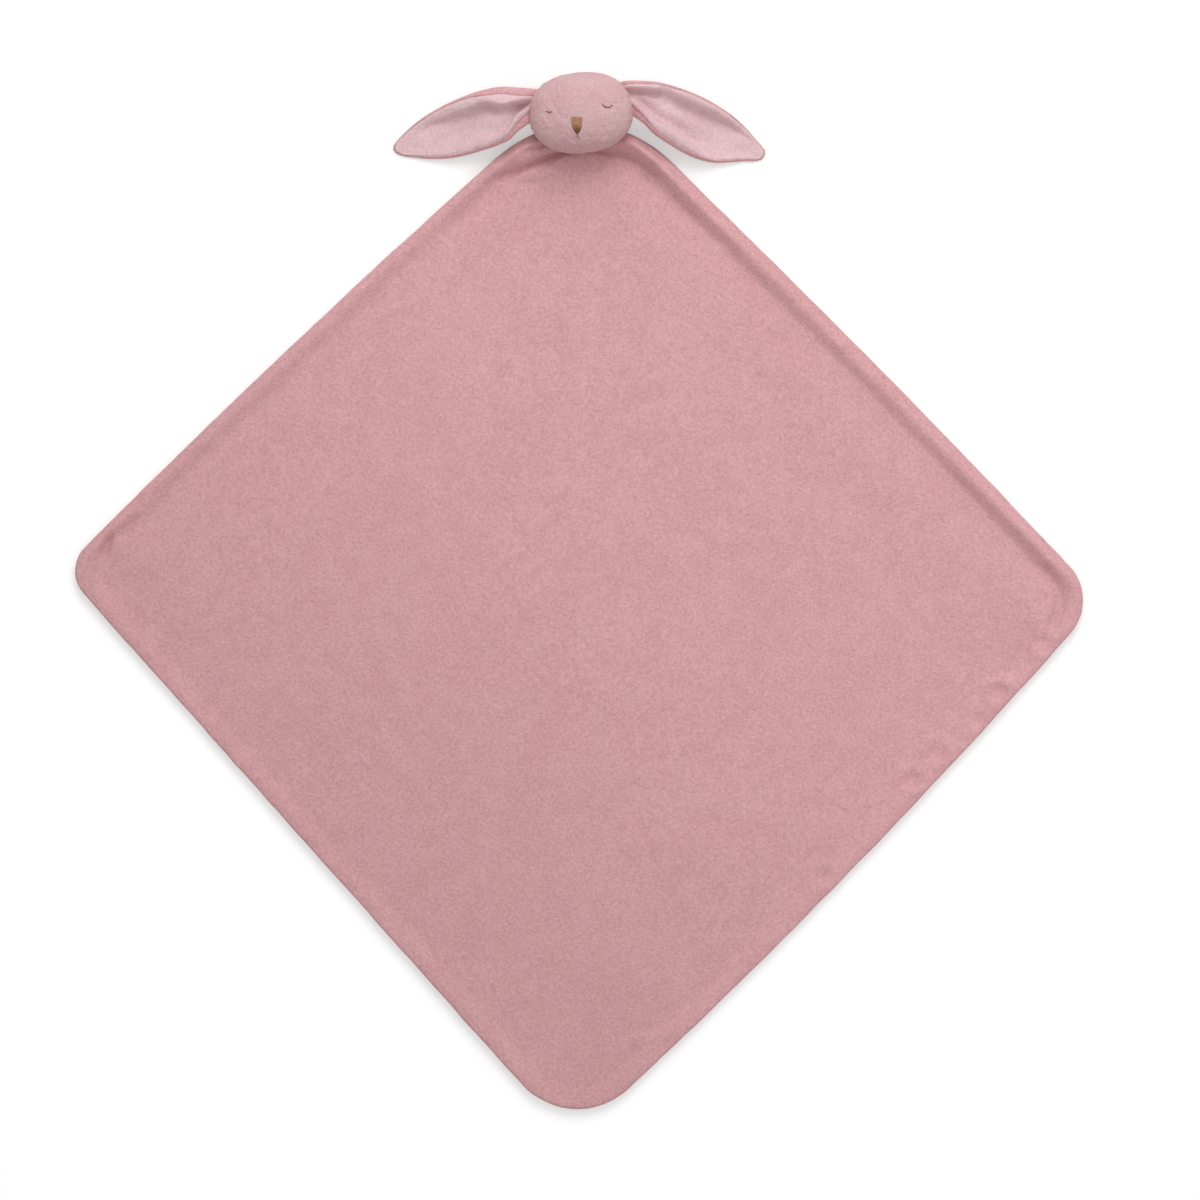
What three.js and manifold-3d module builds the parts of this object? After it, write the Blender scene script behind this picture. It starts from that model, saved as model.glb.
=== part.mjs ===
// Comfort blanket with a stuffed rabbit head at one corner, lying flat on its back with the face up.
// Millimetres, +Z up off the floor, +Y from the middle of the blanket to the crown of the head.
import * as THREE from 'three';
import { mergeVertices } from 'three/addons/utils/BufferGeometryUtils.js';
import Module from 'manifold-3d';

const wasm = await Module();
wasm.setup();

// Cloth
const plush = 2.0; // thickness of one layer of blanket and head plush
const earPlush = 1.7; // thickness of one layer of ear plush
const clearance = 0.3; // air kept between two pieces that lie on each other
const cutOverrun = 40; // how far a cutting shape runs past what it cuts

// Blanket outline: its four corners before they are rounded, from the middle of the whole object
const leftReach = 491.2;
const leftLift = 20.4;
const rightReach = 497.8;
const rightDrop = 9.0;
const topReach = 489.7;
const topShift = 4.8;
const bottomReach = 525.7;
const bottomShift = 3.8;
const leftRounding = 32;
const rightRounding = 48;
const bottomRounding = 71;
const leastRoundingShare = 0.1; // what is left of a corner's rounding far inside the edge
const upperLeftBow = 4; // how far each side bows out past a straight line
const upperRightBow = 2.5;
const lowerLeftBow = 0.5;
const lowerRightBow = 7;

// Blanket edge: both panels turned in, with their seam allowances lying between them
const allowance = 10;
const puffFlat = 8; // width of the edge that the four layers hold at full height
const puffFade = 30; // inset at which the edge has sunk to the middle's height
const insetRings = [60, 45, 32, 25, 19, 14, 10]; // insets at which the height of the panel is given
const middleShares = [0.5, 0.8]; // rings between the middle and the deepest inset
const clothSeam = 2 * plush + 1.5 * clearance; // height of the edge seam
const edgeHeight = 2 * clothSeam;
const middleHeight = 2 * plush + clearance;

// Blanket folds: rolls that lie along the two sides that meet at the head
const rightRollHeight = 4.0;
const rightRollInset = 13;
const rightRollWidth = 14;
const rightSwellHeight = 2.2;
const rightSwellInset = 66;
const rightSwellWidth = 24;
const rightFadeShare = 0.12; // share of the upper right side over which its folds rise from the outer corner
const leftRollHeight = 3.0;
const leftRollInset = 20;
const leftRollWidth = 13;
const leftRollShare = 0.3; // share of the upper left side that its roll runs along, from the head
const chinRise = 2.5; // how much the cloth is drawn up under the chin
const chinRiseReach = 62;

// Neck: the blanket's top corner, turned in to a blunt end that is sewn into the head
const cornerTuck = 49.3; // from the unrounded corner down to the blunt end
const neckRounding = 90;
const hingeSet = 5.0; // from the blunt end back to the line that the neck bends on
const nodForward = 20; // degrees, until the chin lies on the blanket
const nodBack = 90; // degrees, until the head hangs straight down

// Head
const headHalfWidth = 48.5;
const headHalfHeight = 38.5;
const headRoundness = 2.3; // exponent of the outline seen from the front
const headFullness = 2.2; // exponent of the outline seen from the side
const headRoll = 6; // degrees
const headShift = 1.9;
const headSet = 17.8; // from the neck's bending line up to the middle of the head
const seamHeight = 31; // side seam above the floor
const faceDepth = 31; // from the side seam to the top of the face
const backDepth = 34; // from the side seam to the back, before the back is flattened on the floor
const muzzleLift = 3.0;
const muzzleSpread = 15;
const muzzleDrop = 15;
const headAllowance = 6;
const napeSteepness = 1.5; // slope of the cover where it turns down behind the neck
const headPoints = 36;
const headLatitudes = [14, 27, 39, 50, 60, 69, 77, 83]; // degrees from the middle of the face or back
const seamRounding = 1.2;

// Threads
const seamThread = 0.35; // radius of the sewing thread
const neckThread = 0.4; // radius of the doubled thread at the neck
const threadSides = 5;
const neckStitchReach = 25; // half width of the sewn neck opening
const neckLoopFront = 95; // degrees round the neck's bending line, from the crown, of the loop's two runs
const neckLoopBack = -20;
const neckLoopSteps = 12;
const socketSegments = 8;

// Embroidery, placed from the middle of the head as it is seen from the front
const noseTopX = -4.3;
const noseTopY = -4.6;
const noseTipX = -3.3;
const noseLength = 16.2;
const noseWidth = 9.9;
const noseThickness = 1.4;
const noseShoulderShare = 0.45; // share of the length above which the sides are straight
const noseCrownShare = 0.7; // share of the outline at which the pad is at full thickness
const noseMiddleShare = 0.3;
const nosePoints = 12;
const mouthLength = 4.7;
const mouthSlant = 1.2;
const floss = 0.5; // radius of the embroidery floss
const leftEye = { x: -30.6, y: 0.6, width: 5.2, sag: 1.6 };
const rightEye = { x: 25.0, y: 7.6, width: 10.0, sag: 3.6 };
const stitchSteps = 8;
const stitchEndShare = 0.6; // thickness of the floss where it goes through the plush

// Ears
const earLength = 133;
const earHalfWidth = 25.6; // widest half of the pale lining
const earBaseHalfWidth = 15; // half of what is sewn into the head, with the rolled edge
const leftEarAngle = 17.7; // degrees that the ear lies below the line of the ears
const rightEarAngle = 22.1;
const leftEarRise = 6.4; // ear's base above the middle of the head
const rightEarRise = 10.8;
const earCup = 8; // how far the ear's edges stand above its middle
const earFloorGap = 0.2; // clearance of the resting ear over the floor
const earLip = 1.6; // width of the outer panel's edge round the lining
const earLipHeight = 0.9;
const earRoll = 7; // widest that this edge gets where the ear's sides roll forward
const earRollRise = 1.5; // how far such a roll swells above the edge
const earBevel = 1.2; // rounding of the inner panel's edge
const earRootReach = 1.5; // how far the ear runs past its bending line at full thickness
const earRootEndShare = 0.97; // of the root's clear radius, the reach of its thin end
const earDropShare = 0.75; // share of the length over which the ear sinks to the floor
const earTurnShare = 0.25; // share of the length over which the sections turn square to the ear
const earPinchShare = 0.12; // share of the length over which the sections still follow the side of the head
const rootSteps = 12;

const dustyRose = new THREE.Color('#cf9a9e');
const paleRose = new THREE.Color('#dbbcc0');
const headRose = new THREE.Color('#d6aaae');
const caramel = new THREE.Color('#9d694e');
const threadRose = new THREE.Color('#b98488');
const fibreWhite = new THREE.Color('#f1eeea');

const part = new THREE.Group();

function degrees(value) {
  return THREE.MathUtils.degToRad(value);
}

function smooth(from, to, value) {
  const share = THREE.MathUtils.clamp((value - from) / (to - from), 0, 1);
  return share * share * (3 - 2 * share);
}

function hill(distance, width) {
  return Math.exp(-((distance / width) ** 2));
}

// Adds one piece under its name, with its colour and how rough it is.
function addPiece(name, geometry, color, roughness = 1) {
  const material = new THREE.MeshStandardMaterial({ color, roughness, metalness: 0 });
  const piece = new THREE.Mesh(geometry, material);
  piece.name = name;
  part.add(piece);
}

// Turns the triangles round where they face inwards.
function faceOutwards(points, triangles) {
  let volume = 0;
  for (const [a, b, c] of triangles) {
    volume += points[a].dot(new THREE.Vector3().crossVectors(points[b], points[c]));
  }
  return volume < 0 ? triangles.map(([a, b, c]) => [a, c, b]) : triangles;
}

function geometryOf(points, triangles) {
  const geometry = new THREE.BufferGeometry();
  geometry.setAttribute('position', new THREE.Float32BufferAttribute(points.flatMap((p) => p.toArray()), 3));
  geometry.setIndex(faceOutwards(points, triangles).flat());
  return geometry;
}

// Closes an end with a fan to the middle of its ring.
function fanEnd(points, triangles, start, count, flip) {
  const middle = new THREE.Vector3();
  for (let i = 0; i < count; i += 1) middle.add(points[start + i]);
  points.push(middle.divideScalar(count));
  for (let i = 0; i < count; i += 1) {
    const edge = [start + i, start + ((i + 1) % count)];
    triangles.push(flip ? [edge[1], edge[0], points.length - 1] : [edge[0], edge[1], points.length - 1]);
  }
}

// Closes the end of a flat strip, whose ring runs along its top and back along its underside.
function stripEnd(triangles, start, count, flip) {
  for (let i = 0; i < count / 2 - 1; i += 1) {
    const [a, b, c, d] = [start + i, start + i + 1, start + count - 2 - i, start + count - 1 - i];
    triangles.push(flip ? [b, a, c] : [a, b, c], flip ? [c, a, d] : [a, c, d]);
  }
}

// A closed body through rings of points. The ends are closed as fans or strips, or joined to each other.
function skin(rings, end = 'fan') {
  const count = rings[0].length;
  const points = rings.flat().map((p) => p.clone());
  const triangles = [];
  const joins = end === 'ring' ? rings.length : rings.length - 1;
  for (let r = 0; r < joins; r += 1) {
    const near = r * count;
    const far = ((r + 1) % rings.length) * count;
    for (let i = 0; i < count; i += 1) {
      const next = (i + 1) % count;
      triangles.push([near + i, far + i, far + next], [near + i, far + next, near + next]);
    }
  }
  const last = (rings.length - 1) * count;
  if (end === 'fan') {
    fanEnd(points, triangles, 0, count, false);
    fanEnd(points, triangles, last, count, true);
  }
  if (end === 'strip') {
    stripEnd(triangles, 0, count, false);
    stripEnd(triangles, last, count, true);
  }
  return geometryOf(points, triangles);
}

// The direction of a path at each of its points.
function pathDirections(path, closed) {
  return path.map((_, i) => {
    const before = path[closed ? (i + path.length - 1) % path.length : Math.max(i - 1, 0)];
    const after = path[closed ? (i + 1) % path.length : Math.min(i + 1, path.length - 1)];
    return after.clone().sub(before).normalize();
  });
}

// Square to the path, carried from each point to the next with no twist.
function carrySide(side, along) {
  return side.clone().addScaledVector(along, -side.dot(along)).normalize();
}

// A thread along a path, with its radius at each point as a share of the full one.
function thread(path, radius, closed, shares = path.map(() => 1)) {
  const directions = pathDirections(path, closed);
  const upright = new THREE.Vector3(0, 0, 1);
  const sides = [carrySide(upright.cross(directions[0]), directions[0])];
  for (const along of directions.slice(1)) sides.push(carrySide(sides[sides.length - 1], along));
  const back = carrySide(sides[sides.length - 1], directions[0]);
  const twist = closed ? Math.atan2(back.clone().cross(sides[0]).dot(directions[0]), back.dot(sides[0])) : 0;
  const rings = path.map((point, i) => {
    const up = directions[i].clone().cross(sides[i]);
    return Array.from({ length: threadSides }, (_, k) => {
      const angle = (k / threadSides) * 2 * Math.PI + (twist * i) / path.length;
      return point.clone()
        .addScaledVector(sides[i], radius * shares[i] * Math.cos(angle))
        .addScaledVector(up, radius * shares[i] * Math.sin(angle));
    });
  });
  return skin(rings, closed ? 'ring' : 'fan');
}

function toSolid(geometry) {
  const bare = geometry.clone();
  bare.deleteAttribute('normal');
  bare.deleteAttribute('uv');
  const merged = mergeVertices(bare);
  return new wasm.Manifold(new wasm.Mesh({
    numProp: 3,
    vertProperties: new Float32Array(merged.attributes.position.array),
    triVerts: new Uint32Array(merged.index.array),
  }));
}

function cutFrom(geometry, cutters) {
  const cut = cutters.reduce((solid, cutter) => solid.subtract(toSolid(cutter)), toSolid(geometry));
  const mesh = cut.getMesh();
  const result = new THREE.BufferGeometry();
  result.setAttribute('position', new THREE.Float32BufferAttribute(mesh.vertProperties, 3));
  result.setIndex(Array.from(mesh.triVerts));
  return result;
}

// Blanket outline

const leftCorner = new THREE.Vector2(-leftReach, leftLift);
const bottomCorner = new THREE.Vector2(-bottomShift, -bottomReach);
const rightCorner = new THREE.Vector2(rightReach, -rightDrop);
const topCorner = new THREE.Vector2(topShift, topReach);
const neckEnd = topReach - cornerTuck;
const hingeLine = neckEnd - hingeSet;
const chinOverhang = hingeSet + headHalfHeight - headSet; // of the chin past the blunt end

// Where the straight side from a corner to the top corner meets the blunt end.
function bluntCorner(corner) {
  const share = (topReach - neckEnd) / (topReach - corner.y);
  return topCorner.clone().lerp(corner, share);
}

const corners = [
  { at: leftCorner, rounding: leftRounding, points: 5, side: 4, bow: lowerLeftBow },
  { at: bottomCorner, rounding: bottomRounding, points: 6, side: 5, bow: lowerRightBow },
  { at: rightCorner, rounding: rightRounding, points: 5, side: 6, bow: upperRightBow },
  { at: bluntCorner(rightCorner), rounding: neckRounding, points: 4, side: 1, bow: 0 },
  { at: bluntCorner(leftCorner), rounding: neckRounding, points: 4, side: 6, bow: upperLeftBow },
];

function inwardNormal(from, to) {
  const along = to.clone().sub(from).normalize();
  return new THREE.Vector2(-along.y, along.x);
}

// A corner of the outline after all its sides have moved in.
function insetCorner(index, inset) {
  const here = corners[index].at;
  const before = corners[(index + corners.length - 1) % corners.length].at;
  const after = corners[(index + 1) % corners.length].at;
  const first = inwardNormal(before, here);
  const second = inwardNormal(here, after);
  const middle = first.clone().add(second).normalize();
  const stretch = 1 / middle.dot(first);
  return { at: here.clone().addScaledVector(middle, inset * stretch), first, second, middle, stretch };
}

// The rounded stretch of one corner, from the side before it to the side after it.
function roundedCorner(index, inset) {
  const { at, first, second, middle, stretch } = insetCorner(index, inset);
  const full = corners[index].rounding;
  const radius = Math.max(full - inset, full * leastRoundingShare);
  const centre = at.clone().addScaledVector(middle, radius * stretch);
  const start = Math.atan2(-first.y, -first.x);
  let turn = Math.atan2(-second.y, -second.x) - start;
  if (turn < 0) turn += 2 * Math.PI;
  const count = corners[index].points;
  return Array.from({ length: count }, (_, i) => {
    const angle = start + (turn * i) / (count - 1);
    return new THREE.Vector2(centre.x + radius * Math.cos(angle), centre.y + radius * Math.sin(angle));
  });
}

// The blanket's outline moved in by an inset, always with as many points in the same order.
function outline(inset) {
  const arcs = corners.map((_, i) => roundedCorner(i, inset));
  return arcs.flatMap((arc, i) => {
    const from = arc[arc.length - 1];
    const to = arcs[(i + 1) % arcs.length][0];
    const out = inwardNormal(from, to).multiplyScalar(-corners[i].bow);
    const side = Array.from({ length: corners[i].side }, (_, k) => {
      const share = (k + 1) / (corners[i].side + 1);
      return from.clone().lerp(to, share).addScaledVector(out, 4 * share * (1 - share));
    });
    return [...arc, ...side];
  });
}

// Blanket panels

const deepest = insetRings[0];
const blanketMiddle = outline(deepest)
  .reduce((sum, p) => sum.add(p), new THREE.Vector2())
  .divideScalar(outline(deepest).length);

function distanceInside(from, to, point) {
  return point.clone().sub(from).dot(inwardNormal(from, to));
}

// How much the front panel stands above its plain height: the folds along the sides and under the chin.
function foldHeight(point) {
  const fromRight = distanceInside(rightCorner, topCorner, point);
  const fromLeft = distanceInside(topCorner, leftCorner, point);
  const nearHead = topCorner.distanceTo(point) / topCorner.distanceTo(leftCorner);
  const fromOuterCorner = point.distanceTo(rightCorner) / topCorner.distanceTo(rightCorner);
  const onRight = smooth(0, rightFadeShare, fromOuterCorner);
  const rightRoll = rightRollHeight * hill(fromRight - rightRollInset, rightRollWidth);
  const rightSwell = rightSwellHeight * hill(fromRight - rightSwellInset, rightSwellWidth);
  const leftRoll = leftRollHeight * hill(fromLeft - leftRollInset, leftRollWidth);
  const underChin = chinRise * hill(Math.hypot(point.x, point.y - neckEnd), chinRiseReach);
  const fromCorner = topCorner.distanceTo(point) - cornerTuck - chinOverhang;
  const clearOfNeck = smooth(0, chinRiseReach, fromCorner);
  const alongLeft = 1 - smooth(leftRollShare / 2, leftRollShare, nearHead);
  return clearOfNeck * ((rightRoll + rightSwell) * onRight + leftRoll * alongLeft + underChin);
}

function frontHeight(inset, point) {
  const puff = 1 - smooth(puffFlat, puffFade, inset);
  return middleHeight + (edgeHeight - middleHeight) * puff + foldHeight(point);
}

// One ring of a panel at an inset, at a height that may follow the place.
function insetRing(inset, heightAt) {
  return outline(inset).map((p) => new THREE.Vector3(p.x, p.y, heightAt(p)));
}

function middleRing(share, heightAt) {
  return outline(deepest).map((p) => {
    const place = blanketMiddle.clone().lerp(p, share);
    return new THREE.Vector3(place.x, place.y, heightAt(place));
  });
}

// Section of a turned edge, from the panel's face round to the end of its seam allowance and back.
function turnedEdge(faceHeight, seamFace, backHeight) {
  const radius = Math.abs(faceHeight - seamFace) / 2;
  const middle = (faceHeight + seamFace) / 2;
  const towards = Math.sign(faceHeight - seamFace);
  const lean = Math.SQRT1_2 * radius;
  const allowanceBack = seamFace + towards * plush;
  return [
    [radius, faceHeight],
    [radius - lean, middle + towards * lean],
    [0, middle],
    [radius - lean, middle - towards * lean],
    [radius, seamFace],
    [allowance, seamFace],
    [allowance, allowanceBack],
    [radius, allowanceBack],
    [radius, backHeight],
  ].map(([inset, height]) => insetRing(inset, () => height));
}

function frontPanel() {
  const face = (inset) => (p) => frontHeight(inset, p);
  const lining = (inset) => (p) => frontHeight(inset, p) - plush;
  const seamFace = clothSeam + clearance / 2;
  return skin([
    ...middleShares.map((share) => middleRing(share, face(deepest))),
    ...insetRings.map((inset) => insetRing(inset, face(inset))),
    ...turnedEdge(edgeHeight, seamFace, edgeHeight - plush),
    ...insetRings.toReversed().map((inset) => insetRing(inset, lining(inset))),
    ...middleShares.toReversed().map((share) => middleRing(share, lining(deepest))),
  ]);
}

function backPanel() {
  const seamFace = clothSeam - clearance / 2;
  const face = () => 0;
  const lining = () => plush;
  return skin([
    ...middleShares.map((share) => middleRing(share, face)),
    insetRing(deepest, face),
    ...turnedEdge(0, seamFace, plush),
    insetRing(deepest, lining),
    ...middleShares.toReversed().map((share) => middleRing(share, lining)),
  ]);
}

// The lockstitch that joins the panels, in the groove of the edge seam.
function edgeThread() {
  const path = outline(seamThread + clearance / 2).map((p) => new THREE.Vector3(p.x, p.y, clothSeam));
  return thread(path, seamThread, true);
}

// Head

const headMiddle = new THREE.Vector2(headShift, hingeLine + headSet);
const endRadius = Math.hypot(hingeSet - clothSeam / 2, clothSeam / 2) + clothSeam / 2; // of the blunt end
const socketRadius = endRadius + clearance;
const slabReach = clothSeam + clearance;

function turned(x, y, angle) {
  return new THREE.Vector2(x, y).rotateAround(new THREE.Vector2(), degrees(angle));
}

function outlineRadius(angle, inset) {
  const across = Math.abs(Math.cos(angle)) / (headHalfWidth - inset);
  const along = Math.abs(Math.sin(angle)) / (headHalfHeight - inset);
  return (across ** headRoundness + along ** headRoundness) ** (-1 / headRoundness);
}

// Height of the face or back above or below the side seam, at a place measured from the head's middle.
function swellHeight(x, y, depth, inset) {
  const reach = Math.hypot(x, y) / outlineRadius(Math.atan2(y, x), inset);
  return (depth - inset) * Math.max(1 - reach ** headFullness, 0) ** (1 / headFullness);
}

function muzzle(x, y) {
  return muzzleLift * hill(Math.hypot(x - noseTipX, y + muzzleDrop), muzzleSpread);
}

// The lowest that the head's cover, or a layer inside it, may reach over the blanket: high enough for the
// chin to nod, and steep behind the neck's bending line, where the cover turns down to the floor.
function napeHeight(y, inset) {
  const upright = Math.cos(degrees(nodForward));
  const ahead = hingeLine - y;
  const lift = clothSeam + slabReach / upright;
  const overBlanket = lift + inset / upright + ahead * Math.tan(degrees(nodForward));
  const behind = lift + inset * Math.hypot(1, napeSteepness) + ahead * napeSteepness;
  return Math.min(overBlanket, behind);
}

function facePoint(x, y, inset) {
  const z = seamHeight + swellHeight(x, y, faceDepth, inset) + muzzle(x, y);
  const place = turned(x, y, headRoll).add(headMiddle);
  return new THREE.Vector3(place.x, place.y, z);
}

function backPoint(x, y, inset) {
  const place = turned(x, y, headRoll).add(headMiddle);
  const round = seamHeight - swellHeight(x, y, backDepth, inset);
  const least = Math.max(inset, napeHeight(place.y, inset));
  return new THREE.Vector3(place.x, place.y, Math.max(round, least));
}

function headRing(latitude, inset, pointAt) {
  const share = Math.sin(degrees(latitude)) ** (2 / headFullness);
  return Array.from({ length: headPoints }, (_, i) => {
    const angle = (i / headPoints) * 2 * Math.PI;
    const radius = outlineRadius(angle, inset) * share;
    return pointAt(radius * Math.cos(angle), radius * Math.sin(angle), inset);
  });
}

// A level ring at the side seam, moved in from the head's outline.
function seamRing(inset, height) {
  return Array.from({ length: headPoints }, (_, i) => {
    const angle = (i / headPoints) * 2 * Math.PI;
    const radius = outlineRadius(angle, 0) - inset;
    const place = turned(radius * Math.cos(angle), radius * Math.sin(angle), headRoll).add(headMiddle);
    return new THREE.Vector3(place.x, place.y, seamHeight + height);
  });
}

// One half of the head's cover: plush with its seam allowance turned in at the side seam.
function headShell(pointAt, towards) {
  const half = clearance / 2;
  return skin([
    ...headLatitudes.map((latitude) => headRing(latitude, 0, pointAt)),
    seamRing(seamRounding, towards * half),
    seamRing(plush + headAllowance, towards * half),
    seamRing(plush + headAllowance, towards * (half + plush)),
    seamRing(plush, towards * (half + plush)),
    ...headLatitudes.toReversed().map((latitude) => headRing(latitude, plush, pointAt)),
  ]);
}

function stuffing() {
  const inset = plush + clearance;
  const groove = inset + clearance / 2;
  const latitudes = headLatitudes.slice(0, -1);
  return skin([
    ...latitudes.map((latitude) => headRing(latitude, inset, facePoint)),
    seamRing(inset, groove),
    seamRing(inset + headAllowance, groove),
    seamRing(inset + headAllowance, -groove),
    seamRing(inset, -groove),
    ...latitudes.toReversed().map((latitude) => headRing(latitude, inset, backPoint)),
  ]);
}

function sideSeamThread() {
  return thread(seamRing(seamThread, 0), seamThread, true);
}

// Where a turn about the neck's bending line brings a point, in the plane across it.
function aroundHinge(radius, angle) {
  return new THREE.Vector2(
    hingeLine + radius * Math.cos(degrees(angle)),
    clothSeam + radius * Math.sin(degrees(angle)),
  );
}

// What the blanket's end sweeps past the head as the head nods: cut out of the head.
function neckSweep() {
  const reach = headHalfHeight + cutOverrun;
  const up = 180 - nodForward;
  const down = 180 + nodBack;
  const spread = THREE.MathUtils.radToDeg(Math.acos(slabReach / socketRadius));
  const hinge = aroundHinge(0, 0);
  const upperEnd = aroundHinge(slabReach, up - 90).add(aroundHinge(reach, up)).sub(hinge);
  const lowerEnd = aroundHinge(slabReach, down - 270).add(aroundHinge(reach, down)).sub(hinge);
  const shape = new THREE.Shape();
  shape.moveTo(upperEnd.x, lowerEnd.y);
  shape.lineTo(upperEnd.x, upperEnd.y);
  shape.absarc(hinge.x, hinge.y, socketRadius, degrees(up - 90 + spread), degrees(down - 270 - spread), true);
  shape.lineTo(lowerEnd.x, lowerEnd.y);
  const width = 2 * (headHalfWidth + cutOverrun);
  const geometry = new THREE.ExtrudeGeometry(shape, {
    depth: width,
    bevelEnabled: false,
    curveSegments: socketSegments,
  });
  const across = new THREE.Matrix4().makeBasis(
    new THREE.Vector3(0, 1, 0),
    new THREE.Vector3(0, 0, 1),
    new THREE.Vector3(1, 0, 0),
  );
  geometry.applyMatrix4(across.setPosition(-width / 2, 0, 0));
  return geometry;
}

// The thread that closes the neck: a long loop round the opening that the blanket's corner goes into.
function neckPath() {
  const radius = socketRadius + neckThread + clearance;
  const bendSteps = neckLoopSteps / 2;
  const straight = (angle, from, to) => Array.from({ length: neckLoopSteps }, (_, i) => {
    const place = aroundHinge(radius, angle);
    return new THREE.Vector3(THREE.MathUtils.lerp(from, to, i / neckLoopSteps), place.x, place.y);
  });
  const bend = (x, from, to) => Array.from({ length: bendSteps }, (_, i) => {
    const place = aroundHinge(radius, THREE.MathUtils.lerp(from, to, i / bendSteps));
    return new THREE.Vector3(x, place.x, place.y);
  });
  return [
    ...straight(neckLoopFront, -neckStitchReach, neckStitchReach),
    ...bend(neckStitchReach, neckLoopFront, neckLoopBack),
    ...straight(neckLoopBack, neckStitchReach, -neckStitchReach),
    ...bend(-neckStitchReach, neckLoopBack, neckLoopFront),
  ];
}

// Embroidery

function onFace(x, y, lift) {
  const point = facePoint(x, y, 0);
  point.z += lift;
  return point;
}

// Plan places are measured level and true, so they are turned back by the head's roll first.
function levelOnFace(x, y, lift) {
  const place = turned(x, y, -headRoll);
  return onFace(place.x, place.y, lift);
}

// The satin nose, a shield with a straight top and a rounded point.
function noseRing(size, lift) {
  const half = noseWidth / 2;
  const above = noseLength * noseShoulderShare;
  const middle = noseTopY - above;
  return Array.from({ length: nosePoints }, (_, i) => {
    const angle = (i / nosePoints) * 2 * Math.PI + Math.PI / 4;
    const down = Math.sin(angle) < 0;
    const height = down ? noseLength - above : above;
    const squareness = down ? 1 : Math.max(Math.abs(Math.cos(angle)), Math.abs(Math.sin(angle)));
    const x = (half * Math.cos(angle)) / squareness;
    const y = (height * Math.sin(angle)) / squareness;
    const lean = THREE.MathUtils.mapLinear(y, above, -noseLength, noseTopX, noseTipX);
    return levelOnFace(lean + size * x, middle + size * y, lift);
  });
}

function nose() {
  return skin([
    noseRing(noseMiddleShare, clearance),
    noseRing(noseCrownShare, clearance),
    noseRing(1, clearance),
    noseRing(1, clearance + noseThickness / 2),
    noseRing(noseCrownShare, clearance + noseThickness),
    noseRing(noseMiddleShare, clearance + noseThickness),
  ]);
}

function mouth() {
  const top = noseTopY - noseLength - clearance - floss;
  const path = Array.from({ length: stitchSteps }, (_, i) => {
    const share = i / (stitchSteps - 1);
    return levelOnFace(noseTipX + mouthSlant * share, top - mouthLength * share, clearance + floss);
  });
  return thread(path, floss, false);
}

// A closed eye: a stitched arc that hangs between its two corners.
function closedEye({ x, y, width, sag }) {
  const path = Array.from({ length: stitchSteps }, (_, i) => {
    const share = (2 * i) / (stitchSteps - 1) - 1;
    const place = new THREE.Vector2((share * width) / 2, -sag * (1 - share * share));
    return levelOnFace(x + place.x, y + place.y + sag / 2, clearance + floss);
  });
  const shares = path.map((_, i) => (i === 0 || i === stitchSteps - 1 ? stitchEndShare : 1));
  return thread(path, floss, false, shares);
}

// Ears

const earStationShares = [0, 0, 0.06, 0.13, 0.22, 0.34, 0.46, 0.58, 0.7, 0.8, 0.88, 0.94, 0.98, 1];
const earCupShares = [0, 0, 0.12, 0.4, 0.8, 1, 1, 0.9, 0.7, 0.5, 0.35, 0.2, 0.1, 0.05];
const earAcrossShares = [-1, -0.7, -0.35, 0, 0.35, 0.7, 1];

// At each station, how wide the lining is above and below the ear's middle line, and how far the outer panel's
// edge has rolled forward there
const leftUpperShares = [0.28, 0.28, 0.48, 0.65, 0.78, 0.91, 0.94, 0.89, 0.77, 0.6, 0.41, 0.25, 0.13, 0.05];
const leftLowerShares = [0.34, 0.34, 0.47, 0.68, 0.85, 0.92, 0.93, 0.9, 0.8, 0.63, 0.45, 0.31, 0.17, 0.06];
const leftUpperRollShares = [1, 1, 1, 1, 0.85, 0.43, 0.06, 0, 0, 0, 0, 0, 0, 0];
const leftLowerRollShares = [0.63, 0.63, 0.9, 0.74, 0.52, 0.33, 0.22, 0.11, 0.04, 0, 0, 0, 0, 0];
const rightUpperShares = [0.47, 0.47, 0.77, 0.9, 0.99, 1.03, 1.01, 0.93, 0.79, 0.59, 0.39, 0.24, 0.13, 0.05];
const rightLowerShares = [0.25, 0.25, 0.35, 0.48, 0.6, 0.73, 0.87, 0.93, 0.85, 0.64, 0.43, 0.31, 0.19, 0.06];
const rightUpperRollShares = [0.26, 0.26, 0.2, 0.11, 0, 0, 0, 0, 0, 0, 0, 0, 0, 0];
const rightLowerRollShares = [0.63, 0.63, 0.87, 0.91, 0.94, 0.89, 0.67, 0.41, 0.19, 0.04, 0, 0, 0, 0];

const leftEar = {
  side: -1,
  angle: leftEarAngle,
  rise: leftEarRise,
  upperShares: leftUpperShares,
  lowerShares: leftLowerShares,
  upperRollShares: leftUpperRollShares,
  lowerRollShares: leftLowerRollShares,
};
const rightEar = {
  side: 1,
  angle: rightEarAngle,
  rise: rightEarRise,
  upperShares: rightUpperShares,
  lowerShares: rightLowerShares,
  upperRollShares: rightUpperRollShares,
  lowerRollShares: rightLowerRollShares,
};

const earRootRadius = Math.hypot(earRootReach, clearance / 2 + earPlush); // clear radius as the ear turns
const earRootEnd = earRootRadius * earRootEndShare;
const earRootThin = (Math.sqrt(earRootRadius ** 2 - earRootEnd ** 2) - clearance / 2) / earPlush;

// How far the head reaches to one side at a height above its middle.
function headSideReach(side, y) {
  let x = headHalfWidth;
  for (let pass = 0; pass < rootSteps; pass += 1) {
    const angle = Math.atan2(y, side * x) - degrees(headRoll);
    x = Math.sqrt(Math.max(outlineRadius(angle, 0) ** 2 - y * y, 0));
  }
  return x;
}

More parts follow.
